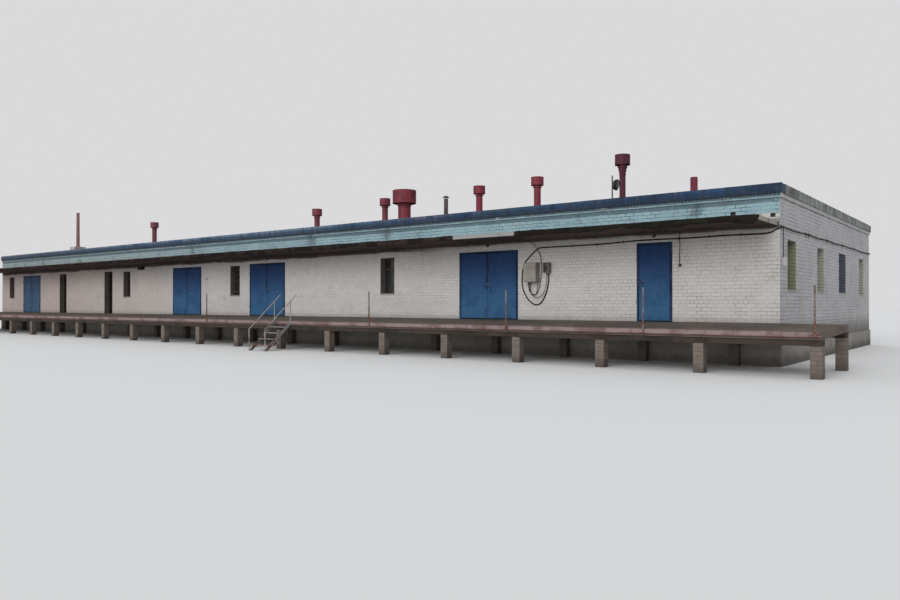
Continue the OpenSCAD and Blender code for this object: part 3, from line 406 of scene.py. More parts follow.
class FACTORY_OT_brickwork(bpy.types.Operator):
    """Lays the white, turquoise and flue bricks over the walls"""
    bl_idname = "factory.brickwork"
    bl_label = "Brickwork"

    def execute(self, context):
        s = context.scene.factory_bricks
        edge, ledge_edge = HALF + s.proud, HALF + CORNICE_OUT + s.proud
        front, back, right, left = planes_round(-HALF, HALF, FRONT, BACK)
        ledges = planes_round(-HALF - CORNICE_OUT, HALF + CORNICE_OUT, FRONT - CORNICE_OUT, BACK + CORNICE_OUT)

        def rowlock(ledge, u0, u1):
            """The cornice's course of bricks on edge, as wide as a brick is high, up to the coping's lap."""
            return ledge, courses((u0, u1, WALL_TOP, CORNICE_TOP - COPING_LAP), WALL_TOP, length=s.course - s.joint,
                                  course=CORNICE_TOP - WALL_TOP, header_every=0, shift=0.0)

        holes = openings([SIDE_DOOR] + DOCK_DOORS + DOORWAYS, 0, HEAD)
        holes += openings(FRONT_WINDOWS, SILL, WINDOW_HEAD) + openings([GRATE], HEAD, HEAD + GRATE_HEIGHT)
        wall_bricks("front_bricks", [(front, courses((-edge, edge, FLOOR, CANOPY_LO.z), FLOOR, holes))],
                    "white_bricks", 3)
        wall_bricks("front_base_bricks", [(front, courses((-edge, edge, BASE_TOP, DECK_TOP - DECK_DEPTH), FLOOR))],
                    "base_bricks", 4)
        holes = openings([(0, 2 * CANOPY_HI.x)], CANOPY_LO.z - 0.01, CANOPY_HI.z)
        for x, z in MISSING_BRICKS:
            holes += openings([(x, 0.062)], CANOPY_LO.z + z, CANOPY_LO.z + z + 0.05)
        wall_bricks("parapet_bricks", [(front, courses((-edge, edge, CANOPY_LO.z, WALL_TOP), WALL_TOP, holes)),
                                       rowlock(ledges[0], -ledge_edge, ledge_edge)], "turquoise_bricks", 5)
        holes = openings(BACK_WINDOWS, SILL, WINDOW_HEAD, -1)
        wall_bricks("back_bricks", [(back, courses((-edge, edge, BASE_TOP, WALL_TOP), FLOOR, holes)),
                                    rowlock(ledges[1], -ledge_edge, ledge_edge)], "end_bricks", 6)
        for name, wall, ledge, turned, seed in (("right_end_bricks", right, ledges[2], 1, 8),
                                                ("left_end_bricks", left, ledges[3], -1, 6)):
            u0, u1 = sorted((turned * (FRONT - s.proud), turned * (BACK + s.proud)))
            holes = openings(END_WINDOWS, SILL, WINDOW_HEAD, turned)
            wall_bricks(name, [(wall, courses((u0, u1, BASE_TOP, WALL_TOP), FLOOR, holes)),
                               rowlock(ledge, u0 - CORNICE_OUT, u1 + CORNICE_OUT)], "end_bricks", seed)
        lo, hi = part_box("flue_base")
        x, y, r = (lo.x + hi.x) / 2, (lo.y + hi.y) / 2, (hi.x - lo.x) / 2
        rects = courses((-r - s.proud, r + s.proud, lo.z, hi.z), lo.z)
        wall_bricks("flue_base_bricks", [(side, rects) for side in planes_round(x - r, x + r, y - r, y + r, x, y)],
                    "flue_bricks", 9)
        return {"FINISHED"}


class FACTORY_OT_piers(bpy.types.Operator):
    """Lays the bricks of the platform's piers and the joints of the foundation blocks"""
    bl_idname = "factory.piers"
    bl_label = "Piers and foundation"

    def execute(self, context):
        s = context.scene.factory_bricks
        lo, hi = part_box("deck_piers")
        w, spacing = 0.120, 1.25
        xs = np.linspace(lo.x + w / 2, hi.x - w / 2, round((hi.x - lo.x) / spacing) + 1)
        areas = []
        for y, top in ((lo.y, hi.z - 0.035), (FRONT - FOOTING_OUT - w - 0.0003, hi.z)):
            rects = courses((-w / 2, w / 2, 0, top), 0, length=w - s.joint, header_every=0)
            for x in xs:
                areas += [(side, rects) for side in planes_round(x - w / 2, x + w / 2, y, y + w, x, y + w / 2)]
        wall_bricks("pier_bricks", areas, "pier_bricks", 11)
        e, corner = HALF + FOOTING_OUT, FOOTING_OUT + 0.003
        spans = (-e, e), (-e, e), (FRONT - corner, BACK + corner), (-BACK - corner, corner - FRONT)
        blocks = [courses((*span, 0, BASE_TOP), 0, length=1.194, course=BASE_TOP, joint=0.008, header_every=0)
                  for span in spans]
        wall_bricks("foundation_blocks", zip(planes_round(-e, e, FRONT - FOOTING_OUT, BACK + FOOTING_OUT), blocks),
                    "foundation_blocks", 12)
        return {"FINISHED"}


# Sheet metal and concrete edges

def sheet_panels(start, end, out, profile, widths, seed, dent=0.0012):
    """Panels side by side from start to end: a profile of (out, up) points is carried along each, dented by a
    ripple, a little out of line, and higher at its last edge, where it laps the next. The points' tone is one value
    a panel."""
    rng = np.random.default_rng(seed)
    start, end, out = np.array(start, float), np.array(end, float), np.array(out, float)
    length = np.linalg.norm(end - start)
    along = (end - start) / length
    profile = np.array(profile, float)
    slope = np.gradient(profile, axis=0)
    normal = np.stack([slope[:, 1], -slope[:, 0]], -1)
    normal /= np.linalg.norm(normal, axis=1, keepdims=True)
    edges = [0.0]
    while edges[-1] < length - widths[1]:
        edges.append(edges[-1] + rng.uniform(*widths))
    edges.append(length)
    parts, tones = [], []
    lap, thickness = 0.010, 0.0011
    rise = np.concatenate([np.zeros(8), [0.4, 1.0, 1.0]]) * 0.0016
    for a, b in zip(edges[:-1], edges[1:]):
        lapped = b < length
        tail = b + np.array([0.0, lap / 2, lap]) if lapped else b - np.array([0.002, 0.001, 0.0])
        u = np.concatenate([a + np.linspace(0, 1, 9)[:-1] * (b - a), tail])
        sag = dent * ripple(u[:, None], np.arange(len(profile))[None] * 0.03, rng.integers(1 << 30), longest=0.5)
        h = (rise * lapped)[:, None] + sag * np.hanning(len(profile) + 2)[1:-1]
        p = profile[None] + normal[None] * h[..., None]
        p[..., 0] += rng.normal(0, 0.0012)
        outer = start + u[:, None, None] * along + p[..., :1] * out + p[..., 1:] * UP
        inner = outer - thickness * (normal[None, :, :1] * out + normal[None, :, 1:] * UP)
        part = strip(np.concatenate([outer, inner[:, ::-1]], 1))
        parts.append(part)
        tones.append(np.full(len(part[0]), rng.uniform()))
    return parts, tones


class FACTORY_OT_copings(bpy.types.Operator):
    """Wraps the wall tops in painted and bare sheet metal"""
    bl_idname = "factory.copings"
    bl_label = "Copings"

    def execute(self, context):
        low, top, fall = CORNICE_TOP - 0.012, COPING_TOP + 0.002, 0.016
        face = COPING_OUT + 0.002
        back = PARAPET + COPING_OUT - CORNICE_OUT + 0.002
        # Up the face from its drip edge, over the top, which falls to the roof, and down the back
        profile = [(face + 0.004, low - 0.003), (face, low + 0.003), (face, low + 0.035), (face, low + 0.07),
                   (face, top - 0.006), (face - 0.006, top), (face - 0.06, top - fall * 0.36),
                   (-back + 0.03, top - fall * 0.8), (-back + 0.005, top - fall), (-back, top - fall - 0.006),
                   (-back, low + 0.05), (-back, low)]
        corner, inset = HALF + COPING_OUT, back - 0.004
        blue, tones = sheet_panels((-corner, FRONT, 0), (corner, FRONT, 0), TO_FRONT, profile, (0.64, 0.77), 21)
        build("front_coping_sheets", blue, "blue_sheet", tone=np.concatenate(tones), round_over=40)
        parts, tones = [], []
        for start, end, out, seed in (((corner, BACK), (-corner, BACK), TO_BACK, 22),
                                      ((HALF, FRONT + inset), (HALF, BACK - inset), TO_RIGHT, 23),
                                      ((-HALF, BACK - inset), (-HALF, FRONT + inset), TO_LEFT, 24)):
            more, tone = sheet_panels((*start, 0), (*end, 0), out, profile, (0.9, 1.1), seed)
            parts, tones = parts + more, tones + tone
        build("rear_coping_sheets", parts, "zinc_sheet", tone=np.concatenate(tones), round_over=40)
        return {"FINISHED"}


def crust(start, end, out, base, top, seed, step=0.016, thick=0.010, hang=(0.010, 0.010)):
    """A lumpy crust along a slab's edge: a closed ring of points round the edge, each pushed out and up by its share
    of a ripple. The lower rim hangs down by hang, given for both ends, times a ragged ripple, and all of it tapers at
    the ends. out points away from the slab, base and top are the heights of its edge."""
    start, end, out = np.array(start, float), np.array(end, float), np.array(out, float)
    spans = int(np.linalg.norm(end - start) / step)
    path = start + np.linspace(0, 1, spans + 1)[:, None] * (end - start)
    u = np.linalg.norm(path - start, axis=1)[:, None]
    ring = np.array([(-0.085, top - 0.002), (-0.080, top + 0.001), (-0.045, top + 0.003), (-0.010, top + 0.003),
                     (0.002, top - 0.004), (0.003, (top * 2 + base) / 3), (0.003, (top + base * 2) / 3),
                     (0.002, base + 0.004), (-0.006, base - 0.002), (-0.020, base - 0.001), (-0.024, base + 0.004)])
    push = np.array([(0, 0), (-0.2, 0.3), (0, 1), (0.3, 1), (0.8, 0.6), (1, 0), (1, 0), (0.8, -0.3), (0.3, -1),
                     (0, -0.4), (0, 0)])
    around = np.arange(len(ring))[None] * 0.025
    lump = (ripple(u, around, seed, 10, 0.9, 0.035) + 1).clip(0, 2) / 2 * thick
    drip = (ripple(u, 0 * around, seed + 1, 12, 1.5, 0.04) + 0.35).clip(0, 1.4) * np.interp(u, (0, u[-1, 0]), hang)
    p = ring[None] + push[None] * lump[..., None]
    p[..., 1] -= np.array([0, 0, 0, 0, 0, 0, 0.3, 0.9, 1, 0.5, 0])[None] * drip
    taper = np.minimum(1, np.minimum(u, u[-1] - u) / 0.05)[..., None]
    p = ring + (p - ring) * taper
    return carried(path[:, None] + p[..., :1] * out + p[..., 1:] * UP)


def moss_tuft(x, y, z, w, d, seed):
    """A cushion of moss on height z: it falls off with the square of how far a point is from its middle, as a share
    of the half sizes w and d, and a ripple makes it lumpy."""
    def height(gx, gy):
        """The cushion's height at a point."""
        fall = np.clip(1.02 - ((gx - x) / w) ** 2 - ((gy - y - 0.01 - d) / d) ** 2, 0, 1)
        return z + (0.012 + 0.006 * ripple(gx, gy, seed, 8, 0.2, 0.02)) * fall - 0.001

    return height_field(np.linspace(x - w, x + w, 15), np.linspace(y + 0.01, y + 0.02 + 2 * d, 7), height, z - 0.002)


class FACTORY_OT_canopy(bpy.types.Operator):
    """Lays the moss crust along the canopy's edge and the clean metal drip on its repaired stretch"""
    bl_idname = "factory.canopy"
    bl_label = "Canopy edge"

    def execute(self, context):
        y, z0, z1 = CANOPY_LO.y, CANOPY_LO.z, CANOPY_HI.z
        end = CANOPY_HI.x
        left, right = 7.362, 8.506      # ends of the repaired stretch
        parts = [crust((-end, y, 0), (left, y, 0), TO_FRONT, z0, z1, 31, hang=(0.012, 0.024)),
                 crust((right, y, 0), (end, y, 0), TO_FRONT, z0, z1, 33, hang=(0.016, 0.034)),
                 crust((-end, FRONT, 0), (-end, y, 0), TO_LEFT, z0, z1, 37)]
        build("canopy_crust", parts, "moss_crust", round_over=60)
        drip = [(0.0, z1 + 0.001), (0.0, z1 + 0.004), (-0.10, z1 + 0.004), (-0.10, z1 + 0.001)]
        face = [(0.0, z0 + 0.004), (0.003, z0 + 0.001), (0.005, z0 + 0.001), (0.004, z0 + 0.006),
                (0.004, z1 + 0.004), (-0.001, z1 + 0.004), (-0.001, z0 + 0.006)]
        strips = [sweep(p, (left, y, 0), (right, y, 0), TO_FRONT, 12) for p in (drip, face)]
        build("canopy_clean_edge", strips, "canopy_repair", round_over=40)
        rng = np.random.default_rng(39)
        spots = np.linspace(-end + 0.4, end - 0.4, 24) + rng.uniform(-0.2, 0.2, 24)
        tufts = [moss_tuft(x, y, z1, rng.uniform(0.10, 0.35), rng.uniform(0.03, 0.09), 40 + i)
                 for i, x in enumerate(spots)]
        build("canopy_moss", tufts, "moss_crust", round_over=70)
        return {"FINISHED"}


class FACTORY_OT_platform(bpy.types.Operator):
    """Adds the plates and bolts at the joints of the platform's steel edge"""
    bl_idname = "factory.platform"
    bl_label = "Platform"

    def execute(self, context):
        y, z = EDGE_LO.y, EDGE_HI.z
        joints = np.linspace(EDGE_LO.x, EDGE_HI.x, 21)[1:-1]
        plate = block((-0.05, -0.004, -0.058), (0.05, 0.0005, -0.008))
        build("deck_edge_plates", [repeat(plate, [(x, y, z) for x in joints])], "edge_paint", bevel=0.0012)
        bolt = disc([(0, -0.001), (0.007, 0), (0.007, 0.003), (0.005, 0.005), (0, 0.0052)], 6)
        spots = [(x + dx, y - 0.004, z + dz) for x in joints for dx in (-0.036, 0.036) for dz in (-0.046, -0.020)]
        build("deck_edge_bolts", [repeat(bolt, spots)], "edge_paint", round_over=30)
        return {"FINISHED"}


# Doors and windows

def handle(x, face, z):
    """A bowed grip on two round feet, its middle at (x, z)."""
    path = [(0, -0.055), (-0.020, -0.052), (-0.026, -0.040), (-0.026, 0), (-0.026, 0.040), (-0.020, 0.052),
            (0, 0.055)]
    foot = disc([(0, -0.001), (0.012, 0), (0.012, 0.0025), (0.006, 0.0035), (0, 0.0036)], 14)
    return [tube([(x, face + out, z + up) for out, up in path], 0.0045, 8, 0.008),
            repeat(foot, [(x, face, z - 0.055), (x, face, z + 0.055)])]


def padlock(x, face, z, reach):
    """A hasp that reaches over the leaf's edge at x, with a padlock's shackle and body in it."""
    path = [(0.004, -0.008, -0.012), (0.004, -0.014, 0.006), (0.013, -0.016, 0.014), (0.022, -0.014, 0.006),
            (0.022, -0.008, -0.012)]
    return [block((x - reach, face - 0.007, z - 0.013), (x + 0.075, face - 0.0035, z + 0.013)),
            tube([(x + dx, face + out, z + up) for dx, out, up in path], 0.0024, 8, 0.004),
            block((x - 0.003, face - 0.018, z - 0.042), (x + 0.029, face - 0.007, z - 0.010))]


def drop_bolt(x, face, z):
    """A bolt down into the sill, at x, in its flat guide; its end is bent out."""
    path = [(-0.008, 0.01), (-0.008, 0.13), (-0.014, 0.14), (-0.028, 0.141)]
    return [block((x - 0.009, face - 0.005, z + 0.03), (x + 0.009, face - 0.001, z + 0.15)),
            tube([(x, face + out, z + up) for out, up in path], 0.0038, 8, 0.01)]


def leaf_trim(name):
    """Folded rim, seams, cover strip, strap rivets and ironwork of a door leaf, on its front sheet."""
    lo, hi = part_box(name)
    z0, z1 = lo.z, hi.z
    single = name == "side_door"
    turned = name.endswith("right") or single       # hangs from its right edge
    hinge = hi.x - PIN_IN if turned else lo.x + PIN_IN
    face = FRONT - 0.006
    x0, x1 = (lo.x + (0.0 if single else 0.0007), hinge - 0.0035) if turned else (hinge + 0.0035, hi.x)
    rim = 0.016
    seam = [(0.0, -0.006), (0.0022, -0.004), (0.003, 0.0), (0.0022, 0.004), (0.0, 0.006), (-0.001, 0.0)]
    bars = border(x0, x1, z0, z1, rim, face + 0.001, face - 0.0022)
    if name == "dock_door_1_right":                 # a welded patch, and the seam beside it
        patch = x0 + 0.129
        bars += border(x0 + 0.010, patch, FLOOR + 0.760, FLOOR + 0.930, 0.008, face + 0.001, face - 0.004)
        bars.append(sweep(seam, (patch, face, FLOOR + 0.78), (x1 - rim, face, FLOOR + 0.78), TO_FRONT))
    else:
        middle = z0 + 0.50 * (z1 - z0)
        bars.append(sweep(seam, (x0 + rim, face, middle), (x1 - rim, face, middle), TO_FRONT))
    if not single:
        a, b = (x0 + 0.001, x0 + 0.024) if turned else (x1 - 0.024, x1 - 0.001)
        build(name + "_strip", [block((a, face - 0.0038, FLOOR + 0.5), (b, face - 0.0005, z1 - 0.002))],
              "meeting_strip", name, bevel=0.0006)
    build(name + "_trim", bars, "door_trim", name, bevel=0.0006, round_over=35)
    rivet = disc([(0, -0.001), (0.0055, 0), (0.005, 0.002), (0.003, 0.0033), (0, 0.0037)], 10)
    straps = [z0 + k * (z1 - z0) + 0.0383 + 0.019 for k in (0.16, 0.82)]
    side = -1 if turned else 1
    spots = [(hinge + side * d, face - 0.004, z) for z in straps for d in (0.030, 0.065, 0.100, 0.135)]
    iron = [repeat(rivet, spots)]
    if turned:
        z = z0 + 0.45 * (z1 - z0)
        iron += handle(x0 + (0.060 if single else 0.052), face, z)
        iron += padlock(x0, face, z + 0.085, 0 if single else 0.034)
    else:
        iron += drop_bolt(x1 - 0.041, face, z0)
    build(name + "_ironwork", iron, "door_iron", name, bevel=0.0006)


class FACTORY_OT_doors(bpy.types.Operator):
    """Adds rims, seams, rivets, handles and locks to the door leaves"""
    bl_idname = "factory.doors"
    bl_label = "Doors"

    def execute(self, context):
        for name in sorted(frame["bodies"]):
            if name != "building":
                leaf_trim(name)
        return {"FINISHED"}


def upright(x, y, foot):
    """A round bar from foot over the sill to the window head."""
    return tube([(x, y, SILL + foot), (x, y, WINDOW_HEAD - 0.002)], 0.005, 8, smooth=False)


def ribbed_pane(sign, middle, width):
    """A pane of ribbed glass: a sheet 2 mm thick whose face goes in and out as a sine of the place along it."""
    u = np.linspace(-width / 2 + 0.012, width / 2 - 0.012, 97)
    rib = 0.004 * np.sin(u * 2 * math.pi / 0.028)
    outline = np.concatenate([np.stack([rib, u], -1), np.stack([rib - 0.002, u], -1)[::-1]])
    rings = np.zeros((3, len(outline), 3))
    rings[..., 0] = sign * (HALF - RECESS + 0.012 + outline[:, 0])
    rings[..., 1] = middle + outline[:, 1]
    rings[..., 2] = np.array([SILL + 0.030, (SILL + WINDOW_HEAD) / 2, WINDOW_HEAD - 0.006])[:, None]
    return strip(rings)


class FACTORY_OT_windows(bpy.types.Operator):
    """Adds the bars, the lattice and the ribbed panes of the windows"""
    bl_idname = "factory.windows"
    bl_label = "Windows"

    def execute(self, context):
        (x, w), y = FRONT_WINDOWS[1], FRONT + 0.045
        bars = [upright(x + d, y, 0.004) for d in np.linspace(-w / 2 + 0.045, w / 2 - 0.045, 6)]
        bars += [block((x - w / 2, y - 0.003, z - 0.009), (x + w / 2, y + 0.003, z + 0.009))
                 for z in (SILL + 0.10, SILL + 0.34, WINDOW_HEAD - 0.10)]
        build("front_window_bars", bars, "window_iron", bevel=0.0008)
        lattice = []
        y, w = END_WINDOWS[2]
        for x in (HALF - 0.008, 0.008 - HALF):
            lattice += [upright(x, y + d, 0.003) for d in np.linspace(-w / 2 + 0.04, w / 2 - 0.04, 8)]
            lattice += [block((x - 0.003, y - w / 2 + 0.001, z - 0.005), (x + 0.003, y + w / 2 - 0.001, z + 0.005))
                        for z in np.linspace(SILL + 0.05, WINDOW_HEAD - 0.05, 8)]
        build("end_window_lattice", lattice, "lattice_iron", bevel=0.0006)
        panes = [ribbed_pane(sign, *END_WINDOWS[i]) for sign in (1, -1) for i in (0, 1, 3)]
        build("end_window_panes", panes, "ribbed_pane", round_over=60)
        return {"FINISHED"}


# Electrical fittings

# Left, right, depth, underside and top
CABINET = (8.192, 8.422, 0.129, FLOOR + 0.602, FLOOR + 0.899)
SMALL_BOX = (8.544, 8.632, 0.115, FLOOR + 0.736, FLOOR + 0.899)
CABLE_R, LEAD_R, SHEATH_R = 0.007, 0.0045, 0.0096
CLEARANCE = CABLE_R + 0.0036        # from the wall's face to the cable's middle
# Paths along the wall in millimetres: from the cabinet's left side or the corner, and up from the floor
MAIN_LOOP = [(396, 737), (396, 640), (379, 531), (344, 411), (274, 291), (186, 238), (98, 261), (8, 337), (-73, 476),
             (-96, 600), (-92, 754), (-60, 870), (-20, 940), (40, 1000), (116, 1068), (190, 1118), (260, 1139)]
MAIN_RUN = [(3140, 1141), (2536, 1144), (2243, 1156), (1959, 1166), (1594, 1168), (1100, 1164), (745, 1172),
            (429, 1170), (200, 1167), (90, 1185)]
TOP_LEAD = [(46, 1267), (46, 1240), (107, 1213), (169, 1157), (230, 1063), (262, 971), (278, 865), (274, 774),
            (260, 654), (232, 518), (186, 420), (124, 405), (60, 450), (34, 530), (34, 602)]
SHORT_LEAD = [(206, 602), (206, 520), (196, 450), (151, 390), (90, 420), (60, 500), (60, 602)]
BOX_LEAD = [(80, 602), (80, 520), (86, 440), (124, 384), (190, 352), (262, 370), (320, 420), (365, 532), (376, 640),
            (376, 737)]
END_CABLE, SLEEVE_X = FLOOR + 1.250, HALF - 0.0646
WALL_SOCKET = np.array([-0.560, FRONT, FLOOR + 0.858])


def lead_y(layer):
    """How far out the leads of a layer lie: one beside the other in front of the cable."""
    return FRONT - 2 * CLEARANCE - (2 * layer - 1) * (LEAD_R + 0.0003)


def along_wall(path, start, sign, y):
    """Points of a path of (along, up) in millimetres, counted from start in the direction sign."""
    return [(start + sign * a / 1000, y, FLOOR + z / 1000) for a, z in path]


def main_cable(brackets):
    """The cable's path: the loop at the cabinet, the run to the corner, the end wall from bracket to bracket, where
    it sags between them, and round the back corner into its sleeve."""
    g, y, z = CLEARANCE, FRONT - CLEARANCE, END_CABLE
    path = along_wall(MAIN_LOOP, CABINET[0], 1, y) + along_wall(MAIN_RUN, HALF, -1, y)
    path += [(HALF - 0.05, y, z - 0.040), (HALF, y, z - 0.022), (HALF + 0.8 * g, FRONT - 0.8 * g, z - 0.012),
             (HALF + g, FRONT + 0.02, z - 0.006)]
    for a, b in zip(brackets[:-1], brackets[1:]):
        path += [(HALF + g + 0.012, a, z), (HALF + g + 0.010, (a + b) / 2, z - 0.010 * (b - a))]
    return path + [(HALF + g + 0.012, brackets[-1], z), (HALF + g, BACK, z), (HALF + 0.8 * g, BACK + 0.8 * g, z),
                   (HALF, BACK + g, z), (HALF - 0.05, BACK + 2 * g, z), (HALF - 0.0585, BACK + 1.6 * g, z),
                   (SLEEVE_X, BACK + g, z), (SLEEVE_X, BACK + 0.001, z)]


class FACTORY_OT_cables(bpy.types.Operator):
    """Sweeps the wall cables round, with their clips and brackets"""
    bl_idname = "factory.cables"
    bl_label = "Cables"

    def execute(self, context):
        brackets = [FRONT + b for b in (0.070, 1.390, 1.550, 2.749, 4.000, 5.000, 6.630)]
        parts = [tube(main_cable(brackets), SHEATH_R, step=0.02)]
        parts += [tube(along_wall(lead, CABINET[0], 1, lead_y(layer)), LEAD_R, 8, 0.015)
                  for layer, lead in ((1, TOP_LEAD), (2, SHORT_LEAD), (3, BOX_LEAD))]
        x, y = SIDE_DOOR[0] + 0.378, FRONT - 2 * CLEARANCE - LEAD_R
        pull = [(x, y, CANOPY_LO.z), (x + 0.004, y, FLOOR + 1.05), (x - 0.003, y, FLOOR + 0.92),
                (x, y, FLOOR + 0.813)]
        x, y = HALF + LEAD_R + 0.0036, FRONT + 0.151
        corner = [(x, y, END_CABLE - CABLE_R), (x, y + 0.004, FLOOR + 1.05), (x, y, FLOOR + 0.86)]
        parts += [tube(path, LEAD_R, 8, 0.02) for path in (pull, corner)]
        build("wall_cable_runs", parts, "cable_sheath", replaces=["wall_cables"])
        r, back = SHEATH_R + 0.0015, 0.004 - CLEARANCE
        arch = [(r * math.sin(a), r * math.cos(a)) for a in np.linspace(0, math.pi, 9)[1:-1]]
        saddle = [(back - 0.002, r + 0.012), (back, r + 0.012), (back, r)] + arch
        saddle += [(back, -r), (back, -r - 0.012), (back - 0.002, -r - 0.012)]
        clip = sweep(saddle, (-0.006, 0, 0), (0.006, 0, 0), TO_FRONT)
        run = np.array(along_wall(MAIN_RUN[:-1], HALF, -1, FRONT - CLEARANCE))
        spots = [(x, FRONT - CLEARANCE, np.interp(x, run[:, 0], run[:, 2]))
                 for x in np.arange(HALF - 3.0, HALF - 0.2, 0.42)]
        build("cable_clips", [repeat(clip, spots)], "bracket_iron", round_over=35)
        hook = [block((0, -0.010, -0.055), (0.005, 0.010, 0.035)),
                block((0, -0.009, -0.016), (0.038, 0.009, -0.0095)),
                block((0.034, -0.009, -0.0095), (0.038, 0.009, 0.014))]
        build("cable_brackets", [repeat(bar, [(HALF, b, END_CABLE)]) for b in brackets for bar in hook],
              "bracket_iron", bevel=0.0006)
        sleeve = disc([(0, -0.002), (0.0125, -0.001), (0.0125, 0.006), (0.011, 0.012), (0, 0.0125)], 20, "y")
        build("cable_sleeve", [repeat(sleeve, [(SLEEVE_X, BACK + 0.001, END_CABLE)])], "cable_sheath")
        return {"FINISHED"}


class FACTORY_OT_cabinet(bpy.types.Operator):
    """Adds the fittings of the meter cabinet, the switch, the wall socket and the lamps' glasses"""
    bl_idname = "factory.cabinet"
    bl_label = "Cabinet and lamps"

    def execute(self, context):
        x0, x1, depth, z0, z1 = CABINET
        y, middle = FRONT - depth - 0.005, (z0 + z1) / 2
        slot = [(0.0, 0.0), (0.006, 0.001), (0.0065, 0.003), (0.0, 0.011)]
        parts = [sweep(slot, (x0 + 0.055, y, z0 + dz), (x1 - 0.055, y, z0 + dz), TO_FRONT)
                 for dz in (0.040, 0.056, 0.072)]
        parts += border(x0 + 0.012, x1 - 0.012, z0 + 0.012, z1 - 0.012, 0.005, y + 0.001, y - 0.003)
        knuckle = revolve([(0, 0), (0.005, 0.0005), (0.005, 0.0295), (0, 0.03)], 12)
        parts.append(repeat(knuckle, [(x0 + 0.006, y + 0.001, z) for z in (z0 + 0.04, z1 - 0.07)]))
        lock = disc([(0, -0.001), (0.010, 0), (0.010, 0.004), (0.007, 0.006), (0, 0.006)], 18)
        parts += [repeat(lock, [(x1 - 0.03, y, middle)]),
                  block((x1 - 0.032, y - 0.010, middle - 0.008), (x1 - 0.028, y - 0.004, middle + 0.008))]
        gland = revolve([(0, 0.001), (0.009, 0), (0.010, -0.006), (0.007, -0.012), (0, -0.013)], 14)
        glands = [(x0 + dx, lead_y(layer), z0) for dx, layer in ((0.034, 1), (0.206, 2), (0.060, 2), (0.080, 3))]
        parts.append(repeat(gland, glands))
        build("cabinet_fittings", parts, "cabinet_trim", bevel=0.0004)
        x0, x1, depth, z0, z1 = SMALL_BOX
        steps = [(0.020, 0.075, 0.0565, 0.030, 0.050), (0.026, 0.086, 0.075, 0.055, 0.065),
                 (0.038, 0.094, 0.086, 0.068, 0.080)]
        inside = [block((x0 + dx, FRONT - out, z0 + low), (x1 - dx, FRONT - back, z1 - high))
                  for dx, out, back, low, high in steps]
        build("switch_block", inside, "dark_plastic", bevel=0.0012)
        glass = disc([(0, -0.002), (0.020, 0), (0.0215, 0.006), (0.018, 0.014), (0.010, 0.019), (0, 0.0205)], 24)
        spots = [(x, FRONT - 0.0364, FLOOR + 1.222) for x, _ in [SIDE_DOOR] + DOCK_DOORS[:3]]
        build("lamp_glasses", [repeat(glass, spots)], "lamp_glass")
        socket = disc([(0, -0.002), (0.024, 0), (0.024, 0.010), (0.019, 0.017), (0.006, 0.020), (0, 0.0205)], 20)
        build("wall_socket", [repeat(socket, [WALL_SOCKET])], "pale_plastic")
        cap = disc([(0, -0.001), (0.015, 0), (0.016, 0.012), (0.012, 0.020), (0, 0.021)], 18)
        build("wall_socket_cap", [repeat(cap, [WALL_SOCKET + (0, -0.0100, -0.022)])], "dark_plastic")
        return {"FINISHED"}


# Roof

class FACTORY_OT_roofing(bpy.types.Operator):
    """Lays lapped felt on the roof and turns it up the parapets"""
    bl_idname = "factory.roofing"
    bl_label = "Roofing"

    def execute(self, context):
        x1, y0, y1 = HALF - PARAPET, FRONT + PARAPET, BACK - PARAPET
        w = 0.48        # width of a strip of felt

        def height(x, y):
            """Each strip rises to its lap, which has a soft seam, and the whole is a little uneven."""
            lap = (x + x1) % w
            step = 0.0035 * np.clip(lap / w, 0, 1) + 0.0015
            seam = 0.0012 * np.exp(-((lap - 0.01) / 0.008) ** 2)
            return ROOF_TOP + 0.003 + step + seam + 0.0016 * ripple(x, y, 51, 12, 2.5, 0.12)

        strips = np.arange(int(2 * x1 / w) + 1) * w
        fine = np.unique(np.concatenate([strips + d for d in (0.0, 0.004, 0.012, 0.03, 0.16, 0.32)]))
        fine = fine[(fine > 0.001) & (fine < 2 * x1 - 0.001)] - x1
        xs = np.concatenate([[-x1 + 0.0005], fine, [x1 - 0.0005]])
        felt = height_field(xs, np.linspace(y0 + 0.0005, y1 - 0.0005, 41), height, ROOF_TOP - 0.002)
        build("roof_felt", [felt], "felt", round_over=30)
        t = ROOF_TOP
        fillet = [(-0.002, t), (0.075, t + 0.004), (0.075, t + 0.009), (0.040, t + 0.012), (0.014, t + 0.030),
                  (0.006, t + 0.050), (0.005, t + 0.085), (-0.002, t + 0.085)]
        runs = [((-x1, y0, 0), (x1, y0, 0), TO_BACK), ((-x1, y1, 0), (x1, y1, 0), TO_FRONT),
                ((-x1, y0, 0), (-x1, y1, 0), TO_RIGHT), ((x1, y0, 0), (x1, y1, 0), TO_LEFT)]
        build("roof_upturn", [sweep(fillet, *run, 24) for run in runs], "felt", round_over=40)
        return {"FINISHED"}


# Vents: x, height over the roof, radius of the pipe and of the head, height of the head and of the neck under it.
# Five are alike, and the big one and the tall one follow them.
VENTS = [(x, h, 0.063, 0.114, 0.152, 0.070) for x, h in (
    (7.452, 0.967), (6.147, 0.932), (3.662, 0.908), (1.515, 0.853), (-5.432, 1.015))]
VENTS += [(4.214, 1.028, 0.131, 0.245, 0.274, 0.070), (9.123, 1.168, 0.051, 0.126, 0.173, 0.166)]
VENT_Y = FRONT + 1.520
# Middle of the floodlight's housing, and from there to its glass
FLOODLIGHT, HOUSING_DEPTH = (8.936, VENT_Y, ROOF_TOP + 0.690), 0.083


